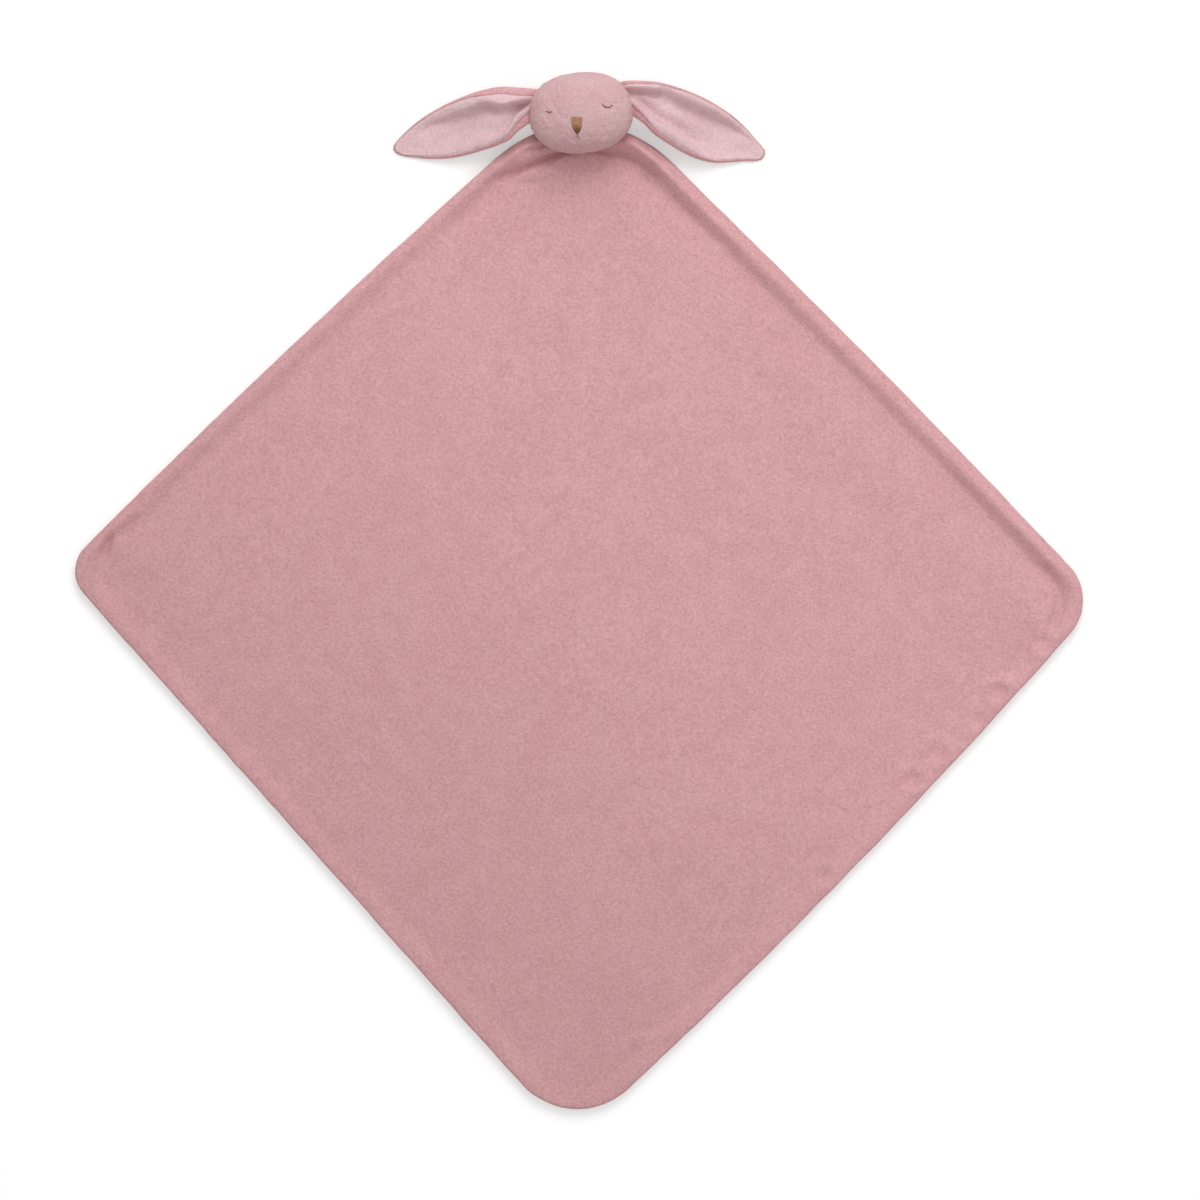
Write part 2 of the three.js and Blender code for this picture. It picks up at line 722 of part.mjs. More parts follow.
// How far it reaches at most over the height of the ear's root.
function widestHeadReach({ side, rise }) {
  const reaches = Array.from({ length: rootSteps + 1 }, (_, i) => {
    return headSideReach(side, rise + earBaseHalfWidth * ((2 * i) / rootSteps - 1));
  });
  return Math.max(...reaches);
}

// Where an ear bends: just outside the side seam.
function earHinge(ear) {
  const out = widestHeadReach(ear) + clearance + earRootRadius;
  return new THREE.Vector3(headMiddle.x + ear.side * out, headMiddle.y + ear.rise, seamHeight);
}

// The ear's middle surface: stations from the root to the tip, each with its place, widths, rolls and height.
function earStations(ear) {
  const hinge = earHinge(ear);
  const low = earFloorGap + earPlush + clearance / 2;
  return earStationShares.map((share, i) => {
    const along = [-earRootEnd, -earRootReach][i] ?? share * earLength;
    const sink = smooth(0, earDropShare, share);
    const slant = degrees(ear.angle) * smooth(0, earTurnShare, share);
    return {
      side: ear.side,
      x: hinge.x + ear.side * along * Math.cos(degrees(ear.angle)),
      y: hinge.y - along * Math.sin(degrees(ear.angle)),
      z: THREE.MathUtils.lerp(hinge.z, low, sink),
      upper: earHalfWidth * ear.upperShares[i],
      lower: earHalfWidth * ear.lowerShares[i],
      upperRollShare: ear.upperRollShares[i],
      lowerRollShare: ear.lowerRollShares[i],
      cup: earCup * earCupShares[i],
      thick: i === 0 ? earRootThin : 1,
      follow: 1 - smooth(0, earPinchShare, share),
      headReach: widestHeadReach(ear),
      across: new THREE.Vector2(ear.side * Math.sin(slant), Math.cos(slant)),
      along: new THREE.Vector3(ear.side * Math.cos(slant), -Math.sin(slant), 0),
    };
  });
}

// A point of a section, across the ear by a share and a width past it, and above the middle surface. Near the
// root the section bends back along the side of the head.
function earPoint(station, share, past, lift) {
  const reach = (share < 0 ? station.lower : station.upper) * share + Math.sign(share) * past;
  const y = station.y + station.across.y * reach;
  const gap = station.headReach - headSideReach(station.side, y - headMiddle.y);
  return new THREE.Vector3(
    station.x + station.across.x * reach - station.side * station.follow * gap,
    y,
    station.z + station.cup * share * share + lift,
  );
}

// The pale plush that lines the ear, with its edge rounded off.
function earInnerPanel(stations) {
  const low = clearance / 2;
  return skin(stations.map((station) => {
    const high = low + earPlush * station.thick;
    const shoulder = high - earBevel * station.thick;
    const bevelAt = (share) => (Math.abs(share) === 1 ? -earBevel : 0);
    return [
      earPoint(station, -1, 0, shoulder),
      earPoint(station, -1, 0, low),
      ...earAcrossShares.slice(1, -1).map((s) => earPoint(station, s, 0, low)),
      earPoint(station, 1, 0, low),
      earPoint(station, 1, 0, shoulder),
      ...earAcrossShares.toReversed().map((s) => earPoint(station, s, bevelAt(s), high)),
    ];
  }), 'strip');
}

// The blanket plush on the back of the ear, rolled forward round the lining's edge: wide and round near the
// root, where the ear is pinched, and a thin lip further out.
function earOuterPanel(stations) {
  const high = -clearance / 2;
  return skin(stations.map((station) => {
    const low = high - earPlush * station.thick;
    const edge = (share, roll) => {
      const outside = clearance + THREE.MathUtils.lerp(earLip, earRoll, roll);
      const crest = (clearance + outside) / 2;
      const lip = high + (earLipHeight - high) * station.thick;
      const swell = earRollRise * roll * (1 - station.follow);
      return [
        earPoint(station, share, clearance, lip),
        earPoint(station, share, crest, lip + swell),
        earPoint(station, share, outside, (lip + high + swell) / 2),
        earPoint(station, share, outside, (high + low) / 2),
        earPoint(station, share, crest, low),
        earPoint(station, share, 0, low),
      ];
    };
    const lower = edge(-1, station.lowerRollShare);
    const upper = edge(1, station.upperRollShare);
    return [
      ...lower.slice(0, 3).toReversed(),
      ...earAcrossShares.map((s) => earPoint(station, s, Math.abs(s) === 1 ? clearance : 0, high)),
      ...upper,
      ...earAcrossShares.slice(1, -1).toReversed().map((s) => earPoint(station, s, 0, low)),
      ...lower.slice(3).toReversed(),
    ];
  }), 'strip');
}

// The thread that joins the two, round the ear's edge from one side of the root to the other.
function earThread(stations) {
  const lift = clearance / 2 + earPlush - seamThread / 2;
  const sewn = stations.slice(2);
  const edge = (station, side, i, all) => {
    const point = earPoint(station, side, 0, lift);
    return i === all.length - 1 ? point.addScaledVector(station.along, seamThread + clearance) : point;
  };
  const upper = sewn.map((station, i, all) => edge(station, 1, i, all));
  const lower = sewn.map((station, i, all) => edge(station, -1, i, all));
  return thread([...upper, ...lower.toReversed()], seamThread, false);
}

addPiece('blanket_front_panel', frontPanel(), dustyRose);
addPiece('blanket_back_panel', backPanel(), dustyRose);
addPiece('blanket_edge_thread', edgeThread(), threadRose, 0.7);

const neckLoop = neckPath();
const neckCuts = [neckSweep(), thread(neckLoop, neckThread + clearance, true)];
addPiece('head_face_panel', headShell(facePoint, 1), headRose);
addPiece('head_back_panel', cutFrom(headShell(backPoint, -1), neckCuts), headRose);
addPiece('head_stuffing', cutFrom(stuffing(), neckCuts), fibreWhite);
addPiece('head_seam_thread', sideSeamThread(), threadRose, 0.7);
addPiece('neck_thread', thread(neckLoop, neckThread, true), threadRose, 0.7);

addPiece('nose_embroidery', nose(), caramel, 0.45);
addPiece('mouth_stitch', mouth(), caramel, 0.5);
addPiece('left_eye_stitch', closedEye(leftEye), caramel, 0.5);
addPiece('right_eye_stitch', closedEye(rightEye), caramel, 0.5);

for (const [name, ear] of [['left_ear', leftEar], ['right_ear', rightEar]]) {
  const stations = earStations(ear);
  addPiece(name + '_inner_panel', earInnerPanel(stations), paleRose);
  addPiece(name + '_outer_panel', earOuterPanel(stations), dustyRose);
  addPiece(name + '_thread', earThread(stations), threadRose, 0.7);
}

export default part;
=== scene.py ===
"""A comfort blanket with a stuffed rabbit head sewn to one corner. It lies flat, face up, seen from above."""

import math

import bmesh
import bpy
import numpy as np
from mathutils import Matrix, Vector, noise
from mathutils.bvhtree import BVHTree


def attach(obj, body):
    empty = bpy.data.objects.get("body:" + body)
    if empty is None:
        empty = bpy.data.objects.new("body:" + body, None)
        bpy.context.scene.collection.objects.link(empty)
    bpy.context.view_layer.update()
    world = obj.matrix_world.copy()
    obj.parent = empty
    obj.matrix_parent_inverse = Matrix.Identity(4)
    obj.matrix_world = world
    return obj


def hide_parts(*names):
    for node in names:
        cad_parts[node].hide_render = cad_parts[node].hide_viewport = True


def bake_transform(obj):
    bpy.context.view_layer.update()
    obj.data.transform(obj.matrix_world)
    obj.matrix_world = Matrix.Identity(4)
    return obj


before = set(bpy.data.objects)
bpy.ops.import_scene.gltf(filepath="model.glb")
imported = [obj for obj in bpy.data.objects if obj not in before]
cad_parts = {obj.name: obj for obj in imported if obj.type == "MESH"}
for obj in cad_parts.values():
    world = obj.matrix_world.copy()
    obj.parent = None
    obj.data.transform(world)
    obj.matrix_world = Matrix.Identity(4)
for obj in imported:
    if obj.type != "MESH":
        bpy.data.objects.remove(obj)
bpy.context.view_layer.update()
scene = bpy.context.scene

# The view and the light
# The camera looks straight down from far off. A large soft lamp hangs beyond the head, a weak one stands at
# the right, and an even white room fills in the rest. The floor is white paper that keeps the soft shadows.
MM = 0.001
photo_width = 1140 * MM
photo_middle = (19.95 * MM, -9.0 * MM)
camera = bpy.data.objects.new("camera", bpy.data.cameras.new("camera"))
camera.data.lens = 600
camera.data.sensor_width = 36
camera.data.clip_end = 100
camera.location = (*photo_middle, photo_width * camera.data.lens / camera.data.sensor_width)
scene.collection.objects.link(camera)
scene.camera = camera
scene.view_settings.view_transform = "Standard"


def hang_lamp(name, place, aim, width, power):
    lamp = bpy.data.objects.new(name, bpy.data.lights.new(name, "AREA"))
    lamp.data.shape = "DISK"
    lamp.data.size = width
    lamp.data.energy = power
    lamp.location = place
    lamp.rotation_euler = (Vector(aim) - Vector(place)).to_track_quat("-Z", "Y").to_euler()
    scene.collection.objects.link(lamp)


hang_lamp("window_lamp", (0.45, 3.2, 3.0), (0, 0, 0), 2.6, 90)
hang_lamp("side_lamp", (1.5, 0.8, 1.4), (0, 0, 0), 1.0, 3)


def link(nodes, outlet, inlet):
    nodes.id_data.links.new(outlet, inlet)


def worked_out(nodes, operation, first, second):
    """One step of arithmetic on an outlet and another outlet or a number."""
    step = nodes.new("ShaderNodeMath")
    step.operation = operation
    link(nodes, first, step.inputs[0])
    if isinstance(second, (int, float)):
        step.inputs[1].default_value = second
    else:
        link(nodes, second, step.inputs[1])
    return step.outputs[0]


def seen_directly(nodes):
    """1 for what the camera sees, straight or in a reflection or through glass."""
    path = nodes.new("ShaderNodeLightPath")
    seen = worked_out(nodes, "MAXIMUM", path.outputs["Is Camera Ray"], path.outputs["Is Glossy Ray"])
    return worked_out(nodes, "MAXIMUM", seen, path.outputs["Is Transmission Ray"])


room = bpy.data.worlds.new("white_room")
scene.world = room
room.use_nodes = True
room.node_tree.nodes.clear()
nodes = room.node_tree.nodes
room_light = nodes.new("ShaderNodeBackground")
room_light.inputs["Strength"].default_value = 0.84
backdrop = nodes.new("ShaderNodeBackground")
backdrop.inputs["Color"].default_value = (1, 1, 1, 1)
either = nodes.new("ShaderNodeMixShader")
room_out = nodes.new("ShaderNodeOutputWorld")
link(nodes, seen_directly(nodes), either.inputs[0])
link(nodes, room_light.outputs[0], either.inputs[1])
link(nodes, backdrop.outputs[0], either.inputs[2])
link(nodes, either.outputs[0], room_out.inputs[0])

bm = bmesh.new()
bmesh.ops.create_grid(bm, x_segments=1, y_segments=1, size=30)
floor_mesh = bpy.data.meshes.new("floor")
bm.to_mesh(floor_mesh)
bm.free()
floor = bpy.data.objects.new("floor", floor_mesh)
scene.collection.objects.link(floor)
paper = bpy.data.materials.new("white_paper")
paper.use_nodes = True
paper.node_tree.nodes.clear()
nodes = paper.node_tree.nodes
matt = nodes.new("ShaderNodeBsdfDiffuse")
matt.inputs["Color"].default_value = (0.68, 0.68, 0.68, 1)
glow = nodes.new("ShaderNodeEmission")
glow_level = worked_out(nodes, "MULTIPLY", seen_directly(nodes), 0.38)
both = nodes.new("ShaderNodeAddShader")
paper_out = nodes.new("ShaderNodeOutputMaterial")
link(nodes, glow_level, glow.inputs["Strength"])
link(nodes, matt.outputs[0], both.inputs[0])
link(nodes, glow.outputs[0], both.inputs[1])
link(nodes, both.outputs[0], paper_out.inputs[0])
floor_mesh.materials.append(paper)

# The blanket's cloth
# Both squares are cut from short-pile knitted fleece in dusty rose. The pile is brushed, so it lies in soft
# streaks and patches that catch the light a little differently.
blanket_rose = (0.648, 0.356, 0.371)


def mottle(nodes, coords, scale, stretch=(1, 1, 1), turn=0, **settings):
    """A soft random pattern on the piece's own coordinates, with its scale in patches to the metre."""
    place = nodes.new("ShaderNodeMapping")
    place.inputs["Rotation"].default_value = (0, 0, turn)
    place.inputs["Scale"].default_value = stretch
    pattern = nodes.new("ShaderNodeTexNoise")
    pattern.inputs["Scale"].default_value = scale
    for name, value in settings.items():
        pattern.inputs[name].default_value = value
    link(nodes, coords, place.inputs["Vector"])
    link(nodes, place.outputs[0], pattern.inputs["Vector"])
    return pattern.outputs[0]


def averaged(nodes, *values):
    """The mean of several numbers."""
    total = values[0]
    for value in values[1:]:
        total = worked_out(nodes, "ADD", total, value)
    return worked_out(nodes, "DIVIDE", total, len(values))


def shaded(nodes, value, dark, light, low=0.35, high=0.65):
    """A colour between a dark and a light one, by where a number lies between a low and a high one."""
    ramp = nodes.new("ShaderNodeValToRGB")
    ramp.color_ramp.elements[0].position = low
    ramp.color_ramp.elements[0].color = (*dark, 1)
    ramp.color_ramp.elements[1].position = high
    ramp.color_ramp.elements[1].color = (*light, 1)
    link(nodes, value, ramp.inputs[0])
    return ramp.outputs[0]


def multiplied(nodes, first, second):
    mix = nodes.new("ShaderNodeMix")
    mix.data_type = "RGBA"
    mix.blend_type = "MULTIPLY"
    mix.inputs["Factor"].default_value = 1
    link(nodes, first, mix.inputs["A"])
    link(nodes, second, mix.inputs["B"])
    return mix.outputs["Result"]


def risen(nodes, value, low, high):
    """0 to 1 as a number goes from low to high."""
    span = nodes.new("ShaderNodeMapRange")
    span.inputs["From Min"].default_value = low
    span.inputs["From Max"].default_value = high
    link(nodes, value, span.inputs["Value"])
    return span.outputs["Result"]


def tinted(colour, share):
    return tuple(min(channel * share, 1) for channel in colour)


def cloth_shader(name, sheen, sheen_tint, roughness=0.9):
    cloth = bpy.data.materials.new(name)
    cloth.use_nodes = True
    shader = cloth.node_tree.nodes["Principled BSDF"]
    shader.inputs["Roughness"].default_value = roughness
    shader.inputs["Specular IOR Level"].default_value = 0.2
    shader.inputs["Sheen Weight"].default_value = sheen
    shader.inputs["Sheen Roughness"].default_value = 0.5
    shader.inputs["Sheen Tint"].default_value = (*sheen_tint, 1)
    coords = cloth.node_tree.nodes.new("ShaderNodeTexCoord").outputs["Object"]
    return cloth, cloth.node_tree.nodes, shader, coords


def raised(nodes, shader, height, depth):
    """Gives the surface a relief, with its depth in metres."""
    bump = nodes.new("ShaderNodeBump")
    bump.inputs["Strength"].default_value = 1
    bump.inputs["Distance"].default_value = depth
    link(nodes, height, bump.inputs["Height"])
    link(nodes, bump.outputs[0], shader.inputs["Normal"])


def short_pile(name, colour, grain=0.13, patches=0.04, depth=0.0012, sheen=0.2, painted_falloff=0.0):
    """Brushed fleece: a fine grain, short streaks two ways along the knit, and broad soft patches. The colour
    can also darken towards the lower left, painted shade for the lamp light falling off there."""
    cloth, nodes, shader, coords = cloth_shader(name, sheen, tinted(colour, 1.4))
    fine = mottle(nodes, coords, 620, Detail=3, Roughness=0.7)
    down = mottle(nodes, coords, 520, (1, 0.5, 1), 0.3, Detail=2)
    across = mottle(nodes, coords, 520, (0.5, 1, 1), 0.3, Detail=2)
    tufts = mottle(nodes, coords, 62, Detail=3, Roughness=0.6)
    wide = mottle(nodes, coords, 13, Detail=2, Roughness=0.5)
    pile = averaged(nodes, fine, down, across)
    near = shaded(nodes, pile, tinted(colour, 1 - grain), tinted(colour, 1 + grain), 0.4, 0.6)
    rosier = (1 - patches, 1 - 1.6 * patches, 1 - 1.5 * patches)
    far = shaded(nodes, averaged(nodes, wide, tufts, tufts), rosier, (1, 1, 1), 0.42, 0.58)
    split = nodes.new("ShaderNodeSeparateXYZ")
    link(nodes, coords, split.inputs[0])
    # Painted shade: the colour grows darker towards the lower left, where the lamp's light falls off.
    diagonal_place = averaged(nodes, split.outputs["X"], split.outputs["Y"])
    painted_falloff_shade = shaded(nodes, risen(nodes, diagonal_place, -0.26, 0.06), (1 - painted_falloff,) * 3, (1, 1, 1), 0, 1)
    link(nodes, multiplied(nodes, multiplied(nodes, near, far), painted_falloff_shade), shader.inputs["Base Color"])
    raised(nodes, shader, pile, depth)
    return cloth


# Painted shade: the blanket's fleece is made up to a tenth darker towards its lower left, where the lamp's
# light falls off.
blanket_fleece = short_pile("blanket_fleece", blanket_rose, painted_falloff=0.1)

# The blanket
# Two squares of fleece are sewn face to face and turned out, so the edge is a seam in a groove between two
# soft lips, puffed up by the four layers of allowance inside. It lies flat, with a soft roll along the two
# sides that run up to the head, creases at the corners, and small puckers where the turned edge pulls.
corners = np.array([(-491.2, 20.4), (-3.8, -525.7), (497.8, -9.0), (4.8, 489.7)])
corner_roundings = np.array([32.0, 71.0, 48.0, 119.0])
side_bows = np.array([0.5, 7.0, 2.5, 4.0])
seam_height = 4.45
seam_gap = 0.15
lip_height = 8.9
lip_inset = 2.15
middle_height = 4.3
fleece_thickness = 1.8
allowance_reach = 6.0
deepest_inset = 60.0


def side_normals():
    along = np.roll(corners, -1, axis=0) - corners
    along /= np.linalg.norm(along, axis=1)[:, None]
    return np.stack([-along[:, 1], along[:, 0]], axis=1)


inward = side_normals()


def corner_arc(corner, inset):
    """A corner's rounding after the sides have moved in: its centres, radii, middle angle and half turn."""
    first, second = inward[corner - 1], inward[corner]
    middle = first + second
    middle /= np.linalg.norm(middle)
    stretch = 1 / middle.dot(first)
    radius = np.maximum(corner_roundings[corner] - inset, 0.1 * corner_roundings[corner])
    centre = corners[corner] + ((inset + radius) * stretch)[:, None] * middle
    return centre, radius, math.atan2(-middle[1], -middle[0]), math.acos(middle.dot(first))


def outline_points(side, share, inset):
    """Places on the outline moved in by an inset, at shares of a side from one corner's middle to the next,
    and the directions out of the outline there."""
    centre, radius, angle, turn = corner_arc(side, inset)
    next_centre, next_radius, next_angle, next_turn = corner_arc((side + 1) % 4, inset)
    out = -inward[side]
    from_point = centre + radius[:, None] * out
    to_point = next_centre + next_radius[:, None] * out
    straight = np.linalg.norm(to_point - from_point, axis=1)
    run = share * (radius * turn + straight + next_radius * next_turn)
    on_first = np.clip(run / (radius * turn), 0, 1)
    on_line = np.clip((run - radius * turn) / straight, 0, 1)
    on_last = np.clip((run - radius * turn - straight) / (next_radius * next_turn), 0, 1)
    heading = np.where(on_last > 0, next_angle - next_turn + on_last * next_turn, angle + on_first * turn)
    direction = np.stack([np.cos(heading), np.sin(heading)], axis=1)
    bow = (side_bows[side] * 4 * on_line * (1 - on_line))[:, None] * out
    place = from_point + on_line[:, None] * (to_point - from_point) + bow
    place = np.where((on_first < 1)[:, None], centre + radius[:, None] * direction, place)
    place = np.where((on_last > 0)[:, None], next_centre + next_radius[:, None] * direction, place)
    return place, direction


def smooth(low, high, value):
    share = np.clip((value - low) / (high - low), 0, 1)
    return share * share * (3 - 2 * share)


def hill(distance, width):
    return np.exp(-((distance / width) ** 2))


def cloud(points, size, seed):
    """A soft random value from -1 to 1 at each point, with lumps of a size."""
    places = (Vector((x / size + seed, y / size - seed, z / size + 3 * seed)) for x, y, z in points)
    return np.array([noise.noise(place) for place in places])


def flat_cloud(points, size, seed):
    return cloud(np.column_stack([points, np.zeros(len(points))]), size, seed)


def along_path(points, path):
    """How far each point lies from a path, on which side (positive on its left), and how far along the path,
    as a share of its length."""
    path = np.array(path, float)
    steps = np.diff(path, axis=0)
    lengths = np.linalg.norm(steps, axis=1)
    before = np.concatenate([[0], np.cumsum(lengths)])
    best = np.full(len(points), 1e9)
    where = np.zeros(len(points))
    side = np.ones(len(points))
    for start, step, length, run in zip(path, steps, lengths, before):
        offset = points - start
        share = np.clip(offset @ step / length**2, 0, 1)
        gap = offset - share[:, None] * step
        distance = np.linalg.norm(gap, axis=1)
        closer = distance < best
        best = np.where(closer, distance, best)
        where = np.where(closer, (run + share * length) / before[-1], where)
        side = np.where(closer, np.sign(step[0] * offset[:, 1] - step[1] * offset[:, 0]), side)
    return best, side, where


def fold(points, path, height, width, fade):
    """A rise (or with a negative height a valley) that follows a path and dies away at its ends."""
    distance, _, share = along_path(points, path)
    ends = smooth(0, fade, share) * smooth(0, fade, 1 - share)
    return height * hill(distance, width) * ends


def tuck(points, path, height, width, start, end):
    """A crease with the cloth on its left drawn up to it and falling sharply on its right."""
    distance, side, share = along_path(points, path)
    ends = smooth(0, start, share) * smooth(0, end, 1 - share)
    reach = np.where(side > 0, width, width * 0.2)
    return height * hill(distance, reach) * ends


def rolled(points, path, height, radius, width, start, end):
    """A soft roll of cloth on the left of a path, round down to a sharp crease at the path itself."""
    distance, side, share = along_path(points, path)
    ends = smooth(0, start, share) * smooth(0, end, 1 - share)
    flank = np.sqrt(np.clip(1 - (1 - distance / radius) ** 2, 0, 1))
    return height * ends * np.where(distance < radius, flank, hill(distance - radius, width)) * (side > 0)


def side_inset(points, side):
    return (points - corners[side]) @ inward[side]


def side_share(points, side):
    """How far along a side a point lies, from 0 at its first corner to 1 at its last."""
    along = corners[(side + 1) % 4] - corners[side]
    return np.clip((points - corners[side]) @ along / along.dot(along), 0, 1)


# What stands on the front square, as paths with a height (or with a minus a depth) and a width. A fold also
# says over which share of its length it dies away, and a roll or a tuck over which shares at its two ends.
folds = [
    # Each side of the neck, where the corner is gathered into the head.
    ([(-30, 432), (-52, 423), (-74, 406)], 4.5, 9, 0.3),
    ([(34, 434), (56, 423), (78, 402)], 4.5, 9, 0.3),
    ([(-88, 385), (-71, 394.5), (-56, 400), (-42, 406.5), (-33, 410.5), (-18, 416.5), (6, 427)],
     -7, 3.2, 0.25),
    ([(-58, 414), (-42, 420), (-30, 426), (-16, 434)], -3.5, 2.6, 0.35),
    ([(-6, 427), (16, 420.5), (25, 418), (34, 416.5), (48, 413.5), (55, 409.5), (62, 404.5), (73, 396),
      (86, 382.5)], -7, 3.2, 0.25),
    ([(-44, 428), (-76, 408), (-108, 382), (-136, 352)], 2.6, 9, 0.25),
    ([(-74, 396), (-88, 374), (-100, 350)], -2.0, 10, 0.4),
    # The left corner.
    ([(-443, 60), (-446, 48), (-450, 38), (-455, 26)], -6.5, 3.6, 0.35),
    ([(-434, 50), (-439, 36), (-442, 22)], 1.8, 6, 0.4),
    ([(-416, 74), (-424, 66), (-433, 56), (-440, 42)], -2.8, 6, 0.4),
    ([(-404, 18), (-415, 13), (-428, 6), (-440, 0)], -3.6, 6, 0.35),
    ([(-452, 66), (-420, 84), (-380, 112)], -1.2, 7, 0.4),
    # The bottom corner.
    ([(-56, -420), (-26, -434), (0, -443), (30, -441)], -1.6, 12, 0.35),
    ([(-80, -412), (-40, -450), (0, -466), (50, -452)], 1.2, 13, 0.35),
    # The right corner.
    ([(432, 28), (446, 14), (455, 0), (457, -18), (450, -34), (445, -52)], -4.4, 5, 0.25),
    ([(436, -8), (440, -30), (438, -50), (424, -76)], 2.0, 6, 0.3),
    ([(428, -14), (428, -44), (416, -76), (404, -92)], -1.8, 6, 0.3)]
rolls = [
    ([(-92, 383), (-71, 395), (-56, 400.5), (-42, 407), (-33, 411), (-18, 417), (-8, 421)],
     5.6, 8, 15, 0.45, 0.04),
    ([(-66, 385), (-56, 387.5), (-38, 389), (-20, 394), (-6, 403)], 3.2, 9, 16, 0.3, 0.4),
    ([(16, 420.5), (25, 418.5), (34, 417), (48, 414), (55, 410), (62, 405), (73, 396.5), (86, 383),
      (97, 371)], 4.8, 8, 14, 0.04, 0.5)]
tucks = [
    ([(54, 411), (64, 405), (80, 390), (98, 371), (117, 352), (141, 325)], 2.6, 15, 0.4, 0.5),
    ([(109, -409), (96, -412), (80, -418), (64, -422), (46, -426)], 2.4, 12, 0.3, 0.15)]
# Rises, each as its middle, height and width, and puckers by the lower right edge, as their middle and depth.
rises = [(0, 404, 3.4, 62), (-438, 34, 2.4, 34), (440, -16, 2.6, 36)]
puckers = [(442, -51, 4.2), (400, -97, 5.0), (379, -124, 2.6), (341, -155, 3.0), (318, -180, 3.4),
           (232, -272, 3.0)]


def blanket_folds(points):
    """How much the front of the blanket stands above its plain height."""
    right, left = side_inset(points, 2), side_inset(points, 3)
    up_right, down_left = side_share(points, 2), side_share(points, 3)
    strong = 1 - 0.45 * smooth(0.12, 0.4, up_right) * (1 - smooth(0.55, 0.78, up_right))
    right_roll = 6.0 * hill(right - 9.5, 8) * strong * smooth(0.0, 0.1, up_right)
    right_valley = -1.3 * hill(right - 26, 7) * strong * smooth(0.03, 0.12, up_right)
    right_swell = 1.6 * hill(right - 62, 26) * smooth(0.02, 0.2, up_right)
    left_roll = 1.8 * hill(left - 5, 8) + 1.4 * hill(left - 40, 16) * (1 - smooth(0.3, 0.6, down_left))
    height = right_roll + right_valley + right_swell + left_roll
    height += sum(fold(points, *one) for one in folds)
    height += sum(rolled(points, *one) for one in rolls)
    height += sum(tuck(points, *one) for one in tucks)
    for x, y, rise, width in rises:
        height += rise * hill(np.hypot(points[:, 0] - x, points[:, 1] - y), width)
    for x, y, depth in puckers:
        distance = np.hypot(points[:, 0] - x, points[:, 1] - y)
        height += 0.45 * depth * hill(distance - 12, 4.5) - depth * hill(distance, 6.5)
    return height


def blanket_waves(points):
    """Broad, low swells where the cloth doesn't lie quite flat."""
    swells = ((1.5, 190, 1.3), (0.8, 85, 4.1), (0.35, 34, 7.7))
    return sum(height * flat_cloud(points, size, seed) for height, size, seed in swells)


def cloth_rings(half, lip_rings, step, last_step):
    """Insets of the rings of a panel's face, from the middle out to the top of its lip."""
    insets = [lip_inset, 3.2]
    while insets[-1] < 13:
        insets.append(insets[-1] + step)
    while insets[-1] < 44:
        insets.append(insets[-1] + last_step)
    while insets[-1] < deepest_inset - 3:
        insets.append(insets[-1] + 4.4)
    insets.append(deepest_inset)
    return insets, half - lip_rings - len(insets) + 1


def square_grid(name, columns, rows):
    """A flat grid from -1 to 1 both ways, with how far across and how far up each of its points lies."""
    bm = bmesh.new()
    bmesh.ops.create_grid(bm, x_segments=columns, y_segments=rows, size=1)
    mesh = bpy.data.meshes.new(name)
    bm.to_mesh(mesh)
    bm.free()
    flat = np.zeros(len(mesh.vertices) * 3)
    mesh.vertices.foreach_get("co", flat)
    return mesh, flat[0::3], flat[1::3]


def shaped(mesh, places):
    """Moves a grid's points to their places in millimetres."""
    mesh.vertices.foreach_set("co", (places * MM).ravel())
    mesh.update()
    mesh.shade_smooth()
    return mesh


def panel_mesh(name, cells, face_height, seam_face, over, step, last_step):
    """One square of the blanket. A square grid is laid out to the blanket's outline ring by ring: its outer
    rings go round the turned edge to the seam and on to the end of the seam allowance between the layers."""
    mesh, u, v = square_grid(name, cells, cells)
    half = cells // 2
    reach = np.maximum(np.abs(u), np.abs(v))
    ring = np.rint(reach * half).astype(int)
    side = np.select([v <= -reach + 1e-6, u >= reach - 1e-6, v >= reach - 1e-6], [0, 1, 2], 3)
    span = 2 * np.maximum(reach, 1e-9)
    share = np.select([side == 0, side == 1, side == 2],
                      [(u + reach) / span, (v + reach) / span, (reach - u) / span], (reach - v) / span)
    lip = [90, 60, 30, 0, -30, -60, -90]
    insets, middle_rings = cloth_rings(half, len(lip), step, last_step)
    ring_inset = np.full(half + 1, deepest_inset)
    for i, inset in enumerate(insets):
        ring_inset[half - len(lip) - i] = inset
    outwards = ring - (half - len(lip))

    def laid(inset):
        place, out = np.zeros((len(u), 2)), np.zeros((len(u), 2))
        for k in range(4):
            here = side == k
            place[here], out[here] = outline_points(k, share[here], inset[here])
        wander = over(place) + 0.5 * flat_cloud(place, 30, 2.2) + 0.3 * flat_cloud(place, 11, 5.5)
        return place + out * (wander * hill(inset, 16))[:, None], out

    inset = ring_inset[ring]
    place, _ = laid(inset)
    centre = corners.mean(axis=0) * 0.5
    inner = ring < middle_rings
    scale = np.where(inner, ring / middle_rings, 1)
    place = centre + (place - centre) * scale[:, None]
    inset = np.where(inner, deepest_inset + (1 - scale) * 290, inset)
    height = face_height(place, inset)
    at_lip = np.full(len(u), lip_inset)
    edge_place, edge_out = laid(at_lip)
    edge_height = face_height(edge_place, at_lip)
    radius = (edge_height - seam_face) / 2
    for i, angle in enumerate(lip):
        here = outwards == i
        turn = math.radians(angle)
        outwards_by = lip_inset - np.clip(radius, 0, lip_inset) * (1 - math.cos(turn))
        place[here] = (edge_place + edge_out * outwards_by[:, None])[here]
        height[here] = (seam_face + radius + radius * math.sin(turn))[here]
    hidden = outwards == len(lip)
    place[hidden] = (edge_place - edge_out * (allowance_reach - lip_inset))[hidden]
    height[hidden] = seam_face
    return shaped(mesh, np.column_stack([place, height]))


